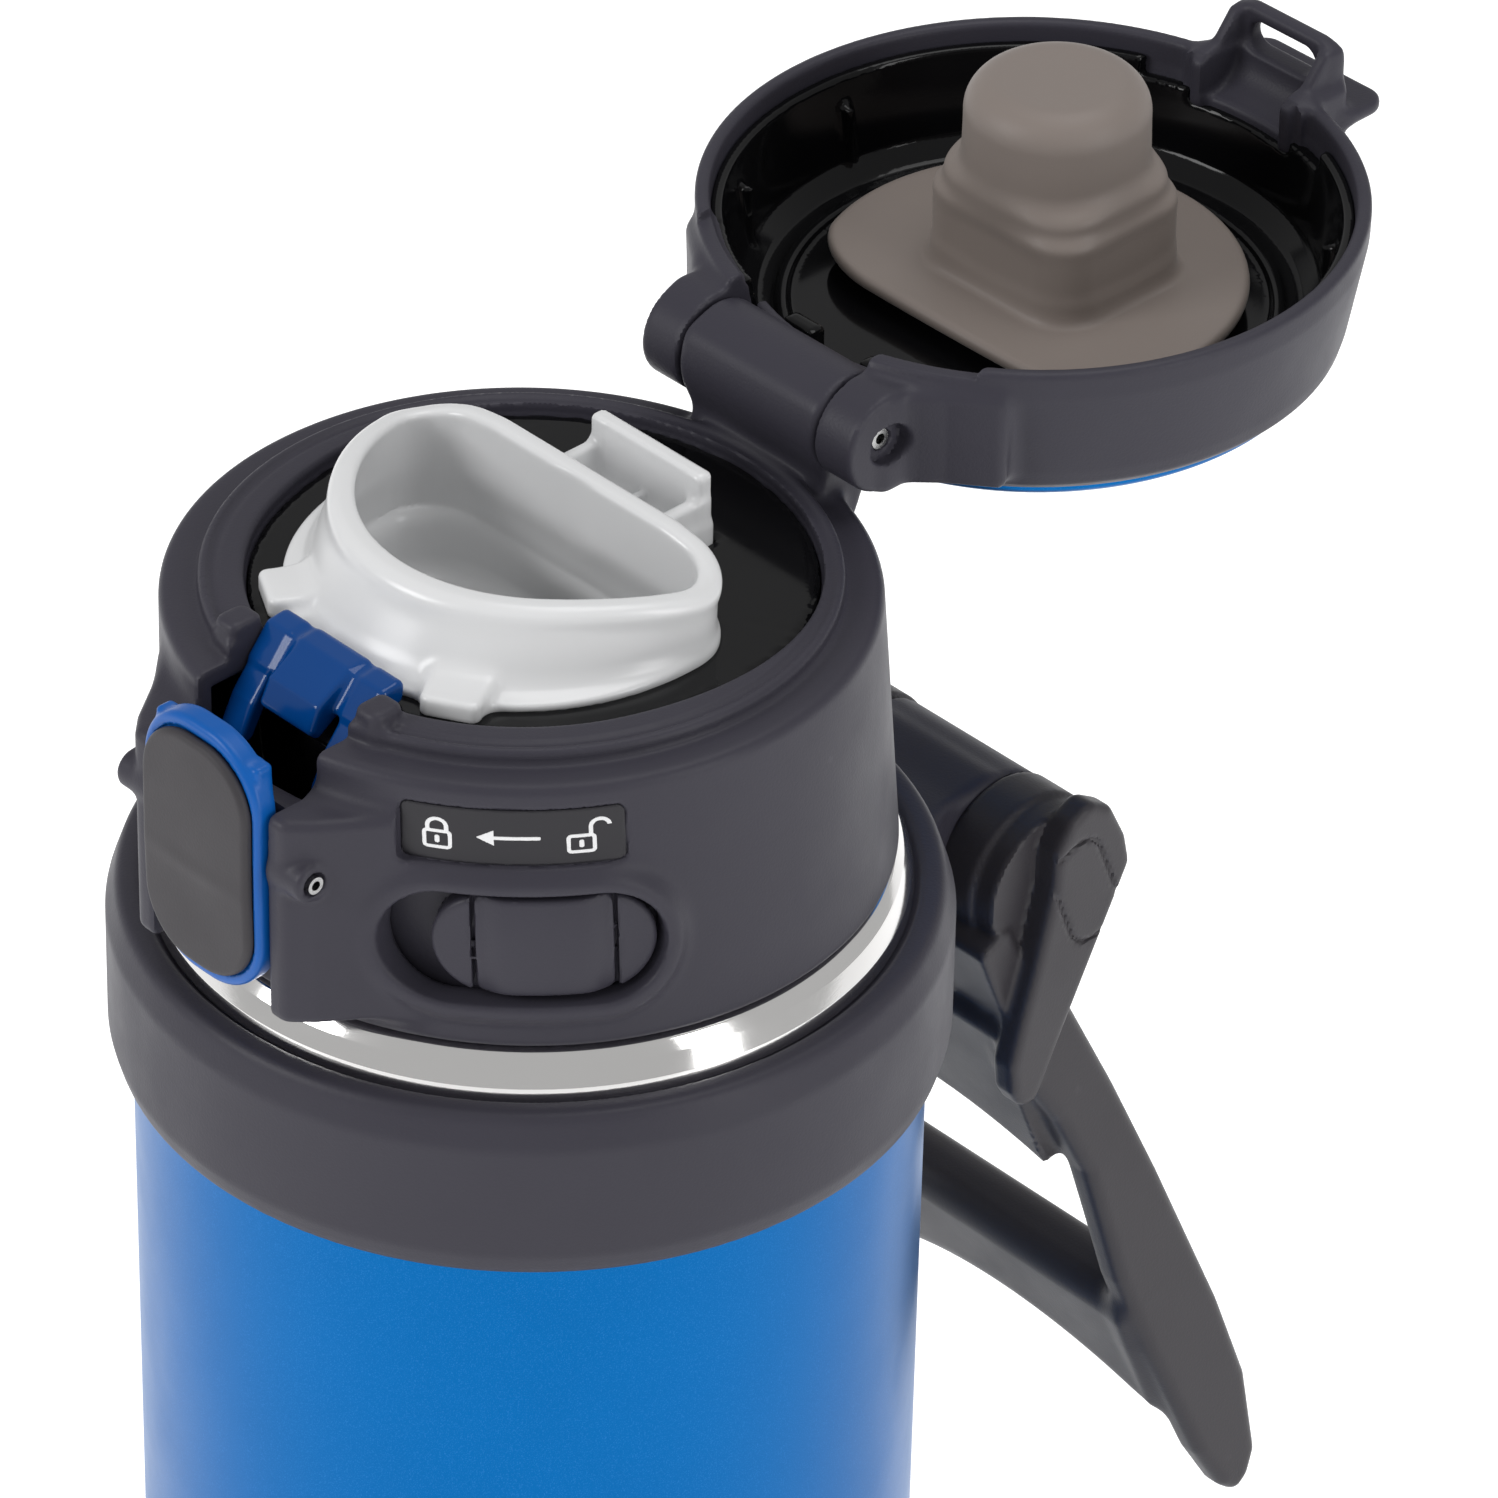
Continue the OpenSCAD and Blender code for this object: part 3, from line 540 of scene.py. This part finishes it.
def deck_edge(y):
    """Radius of the glossy deck, which reaches further out towards the hinge."""
    t = np.clip((y + 15) / 45, 0, 1)
    return 36.5 + 3.4 * t * t * (3 - 2 * t)


def cap(x, y, z):
    R = cap_radius(z)
    u, t, rho = around(x, y, z, WIN_A, WIN_Z)
    pu, pt, _ = around(x, y, z, PLATE_A, PLATE_Z)
    front = y < 0
    window = rect(u, t, 37.4, 17.8, 8.89)
    plate = rect(pu, pt, 30.6, 9.0, 1.3)
    swell = 2.0 * bump(np.maximum(window - 1.3, 0), 1.9) * front
    d = slab(rho - (R + swell), z, CAP0, LEDGE, 1.5)
    # ridge inside the ledge, with a groove, and a block on each side of the clip
    r2 = length(x, y - TOP_Y)
    deck = deck_edge(y)
    ridge = slab(np.abs(r2 - (43.7 + deck) / 2) - (42.7 - deck) / 2, z, 268, 274.1, 0.9)
    ridge = cut(ridge, length(r2 - 41.3, z - 274.4) - 0.75, 0.4)
    d = join(d, ridge, 0.8)
    d = join(d, slab(rect(np.abs(x) - 13.9, y + 39.8, 4.7, 5.4, 1.6), z, 270, 276.4, 1.1), 1.4)
    # housing of the button, the recess of the plate, and the ends of the button's pin
    d = join(d, slab(outline(x, y, HOUSE), z, 233.4, 265.9, 1.4), 3.4)
    d = cut(d, np.where(front, np.maximum(plate, R - 0.4 - rho), 50), 0.25)
    d = join(d, rod_x(x, y, z, 2.9, -18.3, 18.3, ROCK_Y, ROCK_Z, 0.7), 0.9)
    d = cut(d, rod_x(np.abs(x), y, z, 1.75, 17.6, 20, ROCK_Y, ROCK_Z), 0.3)
    # hollow inside
    hollow = np.maximum(rho - (R - 2.6), z - (LEDGE - 3))
    d = cut(d, hollow)
    d = cut(d, r2 - deck - 0.2 + FAR * (z < LEDGE - 4.2))
    # pockets of the button
    d = cut(d, box(x, y, z, (-11.7, -80, 220), (11.7, -50.5, 300), 1.5), 0.7)
    d = cut(d, box(x, y, z, (-11.7, -80, 261.4), (11.7, -36, 300), 1.5), 0.7)
    for side in (-1, 1):
        d = cut(d, box(x * side, y, z, (8, -53, 239.5), (11.6, -40, 250), 0.5))
    # window of the slider
    d = cut(d, np.where(front, np.maximum(window, 42 - rho), 50), 0.7)
    # hinge, then the bores of both pins
    knuckle = rod_x(x, y, z, 7.15, -13, 13, HINGE_Y, HINGE_Z, 0.7)
    root = np.maximum(slab(outline(y, z, ROOT), x, -13, 13, 1.0), -hollow)
    d = join(d, join(knuckle, root, 2.5), 2.2)
    d = cut(d, rod_x(x, y, z, 1.5, -20, 20, HINGE_Y, HINGE_Z))
    return cut(d, rod_x(x, y, z, 1.25, -30, 30, ROCK_Y, ROCK_Z))


def d_shape(x, y, r, flat, rounding):
    """The well's outline: a circle of radius r, cut off straight at y = flat."""
    return keep(length(x, y - WELL_Y) - r, y - flat, rounding)


def core(x, y, z):
    r2 = length(x, y - TOP_Y)
    r0 = length(x, y)
    rw = length(x, y - WELL_Y)
    d = slab(r2 - deck_edge(y), z, 268, DECK, 0.35)
    # fine lines and the triangle on the deck
    for angle in (28, -28, 152, 118):
        line = np.abs(arc(bearing(x, y - TOP_Y), angle, r2)) - 0.16
        d = cut(d, np.maximum(np.maximum(line, 31.4 - r2), DECK - 0.2 - z))
    mx = x * math.cos(MARK_A) - (y - TOP_Y) * math.sin(MARK_A)
    my = x * math.sin(MARK_A) + (y - TOP_Y) * math.cos(MARK_A) - 35.0
    mark = np.abs(outline(mx, my, [(-3.4, 2.6), (3.4, 2.6), (0, -2.8)])) - 0.14
    d = cut(d, np.maximum(mark, DECK - 0.22 - z))
    # wall round the well, floor, and the plug with its thread
    d = join(d, slab(rw - 34.5, z, 230.2, 268.4, 0.3))
    d = join(d, slab(np.maximum(r0 - 44, 30 - r0), z, 230.1, 233.2, 0.2))
    d = join(d, slab(np.abs(r0 - 42.7) - 1.3, z, 208, 231, 0.3))
    for k in range(4):
        d = join(d, slab(np.abs(r0 - 44.2) - 1.3, z, 211 + 4 * k, 212.6 + 4 * k, 0.5), 0.5)
    # the well, the hole that pours, the plug's hollow and the room for the latch
    hole = d_shape(x, y, 30.5, 11.3, 7)
    hole = join(hole, rect(x, y - 14.3, 22.4, 18.6, 1), 0.3)
    d = cut(d, np.maximum(hole, WELL - z), 0.5)
    d = cut(d, length(x, y - OUTLET_Y) - 15.6)
    d = cut(d, np.maximum(rw - 30, z - (WELL - 3)))
    return cut(d, box(x, y, z, (-11.75, -80, 261.4), (11.75, -36.1, 300), 0.5), 0.4)


piece("cap_body", net(cap, (-53, -58.5, 230), (53, 54, 290), 0.5), "cap", ["cap_shell"],
      "dark")
piece("cap_deck", net(core, (-46, -46, 208), (46, 46, 273), 0.75), "cap", ["cap_core"],
      "black")


# ---------------------------------------------------------------- spout and its clip

def spout_form(x, y, z, inset):
    """The leaning cup of the spout, made smaller all round by inset."""
    yc = 9.9 - (SPOUT_TOP - z) * math.tan(SPOUT_LEAN)
    front = length(x, (y - yc) * math.cos(SPOUT_LEAN)) - (31 - inset)
    back = y - (10.3 - inset)
    side = np.abs(x) - (31 - inset)
    return np.maximum(keep(front, back, 10 - inset), side)


def spout(x, y, z):
    lower = slab(d_shape(x, y, 30.1, 10.9, 8), z, 254.8, 272.9, 0.7)
    dip = 2.5 * np.clip((np.abs(x) - 16) / 14, 0, 1) ** 1.4 * np.clip((y + 14) / 20, 0, 1)
    top = SPOUT_TOP - dip
    lip = 0.55 * bump(np.maximum(top - 1.2 - z, 0), 1.6)
    wall = slab(spout_form(x, y, z, 0) - lip, z, 270, top, 1.25)
    # pull tab at the rear, its bridge, and a cheek on each side
    tab = box(x, y, z, (-10.8, 20.2, 266), (10.8, 22.8, 283.4), 0.8)
    bridge = box(x, y, z, (-10.8, 8, 258), (10.8, 22.8, 275.4), 0.6)
    d = join(join(lower, wall, 3.5), join(tab, bridge, 1.5), 1.5)
    for cheek in (-1, 1):
        d = join(d, box(x * cheek, y, z, (8.8, 9, 272), (10.8, 22, 279.5), 0.8), 1.5)
    d = join(d, slab(d_shape(x, y, 31.1, 11.5, 8), z, 272.45, 273.4, 0.4), 1.2)
    ex, ey = np.abs(x) - 16.2, y + 28.0
    ears = slab(rect(ex * 0.87 + ey * 0.5, ey * 0.87 - ex * 0.5, 8.4, 8.6, 1.3), z, 271.9, 275.2, 0.8)
    d = join(d, ears, 2.2)
    # inside of the cup, the hole that pours, the pocket of the tab and its rib
    inner = np.maximum(spout_form(x, y, z, 2.7), 268 - z)
    deep = slab(d_shape(x, y, 27.3, 7.8, 8), z, 257.8, 272, 3.0)
    d = cut(d, join(inner, deep, 4), 1.3)
    d = cut(d, length(x, y - OUTLET_Y) - 14.6, 0.8)
    d = cut(d, box(x, y, z, (-8.6, 11.8, 274.4), (8.6, 20, 300), 1.2), 0.8)
    return join(d, slab(rect(x, z - 275.2, 1.2, 2.2, 0.4), y, 11, 21, 0.4), 0.5)


# Outlines of the clip seen from the side, as places in y and heights over the ledge
STRAP = [(-33.2, 4), (-36.8, 3.6), (-43.4, -4.6), (-46.2, -10.2), (-43.6, -10.2), (-41, -5.6), (-36.8, 0.9),
         (-33.6, 1)]
TONGUE = [(-33.2, 4), (-36.8, 4.0), (-42.4, 0.6), (-44.2, -3.0), (-42.6, -4.6), (-37.4, -1.2), (-33.6, 1)]
BRIDGE = [(-33.2, 4), (-36.8, 3.6), (-40.6, -0.8), (-39, -1.8), (-36.6, 0.4), (-33.6, 1)]


def over_ledge(points, r):
    return rounded([(y, LEDGE + h) for y, h in points], r)


def clip(x, y, z):
    ax = np.abs(x)
    d = slab(outline(y, z, over_ledge(STRAP, 1.2)), ax, 6.9, 11.5, 0.6)
    d = join(d, slab(outline(y, z, over_ledge(TONGUE, 0.9)), x, -5.2, 5.2, 0.8), 0.7)
    return join(d, slab(outline(y, z, over_ledge(BRIDGE, 0.8)), x, -11.5, 11.5, 0.6), 1.0)


piece("pouring_spout", net(spout, (-33, -36, 254), (33, 24, 285), 0.42), "cap", ["spout"],
      "pale")
piece("spout_clip_body", net(clip, (-12, -47, 261), (12, -32, 276.5), 0.3), "cap", ["spout_clip"],
      "clip")


# ---------------------------------------------------------------- inset plate and its pictograms

def inset(x, y, z):
    u, t, rho = around(x, y, z, PLATE_A, PLATE_Z)
    R = cap_radius(z)
    return slab(rect(u, t, 30.2, 8.6, 1.2), rho, R - 0.9, R - 0.1, 0.12)


def padlock(u, t, lift, shift):
    """Flat outline of a padlock, its shackle raised by lift and swung aside by shift."""
    shackle = np.abs(length(u - shift, np.maximum(t - 1.0 - lift, 0)) - 1.15) - 0.27
    shackle = np.maximum(shackle, 0.3 - t)
    if shift:
        shackle = np.maximum(shackle, np.where((u > shift) & (t < 1.1 + lift), 1.0, -1.0))
    case = np.abs(rect(u, t + 1.0, 3.1, 2.5, 0.4)) - 0.25
    hole = rect(u, t + 1.0, 0.6, 1.2, 0.25)
    return np.minimum(np.minimum(shackle, case), hole)


def icons(x, y, z):
    u, t, rho = around(x, y, z, PLATE_A, PLATE_Z)
    R = cap_radius(z)
    head = outline(u, t, [(-4.9, 0), (-2.5, 1.2), (-2.5, -1.2)])
    arrow = np.minimum(rect(u - 0.2, t, 7.0, 0.55, 0.2), head)
    d = np.minimum(arrow, padlock((u + 10.1) / 1.12, t - 0.1, 0.0, 0.0))
    d = np.minimum(d, padlock((u - 9.1) / 1.12, t + 0.1, 0.5, 2.3))
    return slab(d, rho, R - 0.35, R - 0.02, 0.0)


piece("icon_inset", net(inset, (20, -48, 258), (48, -18, 270), 0.25), "cap", ["icon_plate"],
      "plate")
piece("icon_marks", net(icons, (20, -48, 259), (48, -18, 269), 0.12), "cap", ["lock_icons"],
      "print")


# ---------------------------------------------------------------- slider and button

def slider(x, y, z):
    u, t, rho = around(x, y, z, SLIDE_A, WIN_Z)
    lobes = slab(rect(u, t, 30.2, 16.2, 8.09), rho, 46.0, 50.0, 0.9)
    lobes = cut(lobes, slab(rect(u, t, 19.4, 20, 0.5), rho, 48.6, 53, 0.2), 0.25)
    face = 51.1 - 0.011 * t * t - 1.0 * bump((np.abs(u) - 8.7), 2.2)
    saddle = slab(rect(u, t, 18.2, 15.7, 1.2), rho, 46.0, 52.0, 0.3)
    d = join(lobes, keep(saddle, rho - face, 0.4), 0.3)
    return join(d, slab(rect(u, t, 47, 23.0, 1), rho, 44.4, 46.3, 0.2))


def crown(x, t):
    """How far the button's face falls back from its middle."""
    return BUTTON_DOME * ((x / 12) ** 2 * 0.5 + (t / 21) ** 2 * 0.5)


def button(x, y, z):
    t = z - BUTTON_Z
    y1 = y - crown(x, t)
    d = slab(rect(x, t, 22.9, 40.2, 10.0), y1, -59.3, -55.6, 0.9)
    d = cut(d, slab(rect(x, t, 20.9, 36.6, 9.0), y1, -62, -58.7, 0.3), 0.3)
    d = join(d, slab(rect(x, t + 5, 18.6, 27, 7), y, -58, -54.4, 0.8), 0.8)
    # on each side a leg low down and an eye above it, then the nose between the eyes
    for side in (-1, 1):
        d = join(d, box(x * side, y, z, (8.6, -58, 241.8), (10.6, -47.8, 246.6), 0.5), 0.5)
        d = join(d, box(x * side, y, z, (7.4, -57.6, 266), (10.2, -54.7, 272), 0.7), 0.7)
    d = join(d, box(x, y, z, (-5, -57.4, 268.9), (5, -54.55, 271), 0.4), 0.5)
    return cut(d, rod_x(x, y, z, 1.3, -13, 13, ROCK_Y, ROCK_Z))


def pad(x, y, z):
    t = z - BUTTON_Z
    thumb = 0.5 * bump(length(x / 8.0, (t + 9.5) / 6.5), 1.0) - 0.25 * bump(t + 2.2, 1.6) * bump(x, 9)
    return slab(rect(x, t, 20.7, 36.2, 8.9), y - crown(x, t) - thumb * 0.8, -60.5, -58.72, 0.8)


piece("slider_body", net(slider, (8, -52, 234), (53, -3, 260), 0.45), "lock", ["lock_slider"],
      "dark")
piece("button_rim", net(button, (-12, -61, 233.5), (12, -47, 276.2), 0.35), "button", ["button_frame"],
      "frame")
piece("button_soft_pad", net(pad, (-11, -61.5, 235), (11, -57, 275), 0.3), "button", ["button_pad"],
      "pad")


# ---------------------------------------------------------------- lid, drawn shut and turned open

LID = rounded([(44.6, 272.05), (46.7, 272.05), (46.6, 276), (44.3, 289.4), (43.7, 291.6), (42.2, 293.1),
               (40.0, COVER0 + 0.05), (0.01, COVER0 + 0.05), (0.01, COVER0 - 2.1), (39.8, COVER0 - 2.1),
               (42.1, 288), (44.4, 276)], 1.2)
LID_IN = rounded([(42.8, 274.9), (44.4, 274.9), (44.35, 276), (42.05, 288), (39.8, COVER0 - 2.15),
                  (0.01, COVER0 - 2.15), (0.01, COVER0 - 3.6), (37.8, COVER0 - 3.6), (40.4, 287.4),
                  (42.6, 276)], 0.9)
EAR = rounded([(13.4, 36), (13.4, 47), (20.5, 47), (21, 43.5), (25, 39.5), (31.5, 34.5), (28, 30)], 1.5)
CHEEK = rounded([(LATCH_Y, 266.6), (LATCH_Y, 280), (-42.5, 280), (-42.5, 272.4), (-46.4, 271.2),
                 (-50.2, 266.6)], 1.2)
COVER = [(0.01, COVER0 - 1.3), (41.0, COVER0 - 1.3), (41.0, 294.6), (39.5, LID_TOP), (0.01, LID_TOP)]


def lid(x, y, z):
    rho = length(x, y - LID_Y)
    ax = np.abs(x)
    d = outline(rho, z, LID)
    ring = rod_x(ax, y, z, 7.3, 13.4, 20.5, HINGE_Y, HINGE_Z, 0.7)
    arm = np.maximum(slab(outline(ax, y, EAR), z, 275.4, 290.4, 1.8), 43.6 - rho)
    d = join(d, join(ring, arm, 2), 2.5)
    # gap for the cap's knuckle, with a low wall behind it
    d = cut(d, box(x, y, z, (-13.4, 37.2, 260), (13.4, 80, 300), 0.6), 0.5)
    low = slab(np.abs(rho - 41.2) - 1.0, z, 279.5, 292.6, 0.7)
    d = join(d, np.maximum(low, np.maximum(ax - 13.6, -y)), 0.6)
    # latch: a scooped tower on the rim that ends in a loop, with a thumb lip in front
    tower = box(x, y, z, (-11.2, LATCH_Y, 271.6), (11.2, -40, 281.5), 1.6)
    d = join(d, np.maximum(tower, 43.2 - rho), 2.0)
    cheek = slab(outline(y, z, CHEEK), ax, 7.4, 9.6, 0.7)
    front = slab(rect(x, z - 270.8, 19.2, 10.2, 3.4), y, LATCH_Y, LATCH_Y + 2.6, 0.9)
    d = join(join(d, cheek, 1.2), front, 1.2)
    lip = slab(rect(x, y + 55.8, 24, 9.6, 3.0), z, 276.2, 278.6, 1.0)
    d = join(d, np.maximum(lip, 45 - rho), 1.8)
    d = cut(d, rod_x(x, y, z, 5.4, -7.4, 7.4, -44.6, 272.6, 0.8), 0.8)
    d = cut(d, box(x, y, z, (-7.4, -50.4, 262), (7.4, -38, 272), 1.0), 0.8)
    d = cut(d, slab(rect(x, z - 270.0, 12.4, 4.4, 2.1), y, -62, -48), 0.7)
    # relief over the cap's ridge, then the bore and the recesses of the pin
    d = cut(d, box(x, y, z, (-27, 26, 260), (27, 50, 273.4), 0.5), 0.5)
    d = cut(d, rod_x(x, y, z, 1.55, -30, 30, HINGE_Y, HINGE_Z))
    return cut(d, rod_x(ax, y, z, 3.1, 19.2, 30, HINGE_Y, HINGE_Z), 0.5)


def liner(x, y, z):
    rho = length(x, y - LID_Y)
    d = outline(rho, z, LID_IN)
    for angle in (48, -48, 84, -84, 120, -120):
        along = arc(bearing(x, y - LID_Y), angle, rho)
        d = join(d, slab(rect(along, rho - 41.8, 1.0, 3.2, 0.4), z, 279, 290, 0.4), 1.2)
    d = join(d, slab(np.abs(rho - 34.5) - 0.9, z, COVER0 - 4.5, COVER0 - 3, 0.6), 0.6)
    # cup that holds the stopper, and low catches beside the hinge
    cup = np.abs(length(x, y - OUTLET_Y) - 12.4) - 0.8
    d = join(d, slab(cup, z, SPOUT_TOP + 4.6, COVER0 - 3, 0.4), 0.4)
    d = join(d, box(np.abs(x), y, z, (4.5, 33.4, 281), (10.5, 36.4, 291), 0.8), 0.8)
    # room for the knuckle, the cap's ridge and the latch
    d = cut(d, box(x, y, z, (-13.6, 38.5, 260), (13.6, 80, 300), 0.5), 0.4)
    d = cut(d, box(x, y, z, (-27, 26, 260), (27, 50, 275), 0.5), 0.5)
    d = cut(d, box(x, y, z, (-17.5, -80, 260), (17.5, -34, 277.6), 0.5), 0.4)
    return cut(d, box(x, y, z, (-9.8, -80, 260), (9.8, -40.5, 279.4), 0.8), 0.4)


def plug(x, y, z):
    yb = y - STOP_Y
    sag = 0.5 * np.clip((length(x, y - WELL_Y) - 15) / 15, 0, 1) ** 2
    plate = slab(keep(length(x, y - LID_Y) - 30.4, y - 16.4, 7.5), z + sag, 285.6, 287.9, 1.1)
    stem = slab(length(x, y - OUTLET_Y) - 11.4, z, 286, 289.6, 0.3)
    waves = 0.35 * np.cos(4 * np.arctan2(x, yb))
    block = slab(rect(x, yb, 29.2, 25.6, 6.0), z, 273.2, 286.5, 1.0)
    upper = slab(rect(x, yb, 28.0, 25.2, 8.0), z + waves, 269.4, 275, 1.6)
    foot = slab(rect(x, yb, 29.2, 24.8, 6.5), z - waves, 281.8, 286.8, 1.4)
    nose = slab(length(x, yb) - 13.0 - 0.02 * np.clip(z - 262, 0, 12), z, 255.8, 275, 5.0)
    d = join(plate, foot, 2.0)
    d = join(d, block, 1.8)
    d = join(d, upper, 2.2)
    d = join(d, nose, 2.6)
    return join(d, stem)


piece("lid_body", opened(net(lid, (-48.5, -61.5, 265), (48.5, 54, 294.4), 0.5)), "lid", ["lid_shell"],
      "dark")
piece("lid_inside", opened(net(liner, (-45.5, -47, 272), (45.5, 44.5, 292), 0.5)), "lid", ["lid_liner"],
      "black")
piece("lid_top_cover", opened(lathe(COVER, 224, 1.3, LID_Y)), "lid", ["lid_cover"], "paint")
piece("stopper_plug", opened(net(plug, (-32, -33, 255), (32, 18, 291), 0.5)), "lid", ["stopper"],
      "silicone")


# ---------------------------------------------------------------- CAD parts that stay as they are

KEPT = {
    "pin": ("handle_pin", "button_pin", "hinge_pin"),
    "spring": ("button_spring", "hinge_spring"),
    "silicone": ("mouth_gasket", "spout_gasket"),
}
for look, names in KEPT.items():
    for name in names:
        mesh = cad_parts[name].data
        mesh.materials.clear()
        mesh.materials.append(M[look])


# ---------------------------------------------------------------- floor, lights and camera

def floor(size=6.0):
    mesh = bpy.data.meshes.new("floor")
    z = CAD_LO[2] - 0.0002
    corners = [(-size, -size, z), (size, -size, z), (size, size, z), (-size, size, z)]
    mesh.from_pydata(corners, [], [(0, 1, 2, 3)])
    ob = bpy.data.objects.new("floor", mesh)
    bpy.context.scene.collection.objects.link(ob)
    pale = material("pale floor", (0.93, 0.93, 0.93), 0.65, vary=0.004)
    glow = pale.node_tree.nodes["Principled BSDF"].inputs
    glow["Emission Color"].default_value = (1, 1, 1, 1)
    glow["Emission Strength"].default_value = 0.5
    mesh.materials.append(pale)


def area(name, place, target, size, power, size_y=None):
    light = bpy.data.lights.new(name, "AREA")
    light.shape = "RECTANGLE"
    light.size = size
    light.size_y = size_y or size
    light.energy = power
    ob = bpy.data.objects.new(name, light)
    bpy.context.scene.collection.objects.link(ob)
    ob.location = place
    ob.rotation_euler = (Vector(target) - Vector(place)).to_track_quat("-Z", "Y").to_euler()


floor()
world = bpy.data.worlds.new("studio")
bpy.context.scene.world = world
world.use_nodes = True
world.node_tree.nodes["Background"].inputs["Color"].default_value = (1, 1, 1, 1)
world.node_tree.nodes["Background"].inputs["Strength"].default_value = 0.5
area("key", (-0.5, -1.2, 0.9), (0, 0, 0.16), 0.6, 9)
area("side", (1.5, 0.25, 0.7), (0, 0, 0.16), 0.35, 7, 1.2)
area("top", (0.1, 0.3, 1.7), (0, 0, 0.2), 0.9, 7)

AZ, EL, ROLL = math.radians(47.39), math.radians(35.82), math.radians(0.3)
AIM = Vector((0, 0, COLLAR_Z1 / 1000))
DISTANCE = 1.20875
back = Vector((math.sin(AZ) * math.cos(EL), -math.cos(AZ) * math.cos(EL), math.sin(EL)))
camera = bpy.data.objects.new("camera", bpy.data.cameras.new("camera"))
bpy.context.scene.collection.objects.link(camera)
camera.location = AIM + back * DISTANCE
camera.rotation_euler = (back.to_track_quat("Z", "Y").to_matrix() @ Matrix.Rotation(ROLL, 3, "Z")).to_euler()
camera.data.lens = 212.5
camera.data.sensor_width = 36
camera.data.shift_x = 0.1456
camera.data.shift_y = 0.077
camera.data.clip_end = 50
bpy.context.scene.camera = camera
bpy.context.scene.view_settings.view_transform = "Standard"
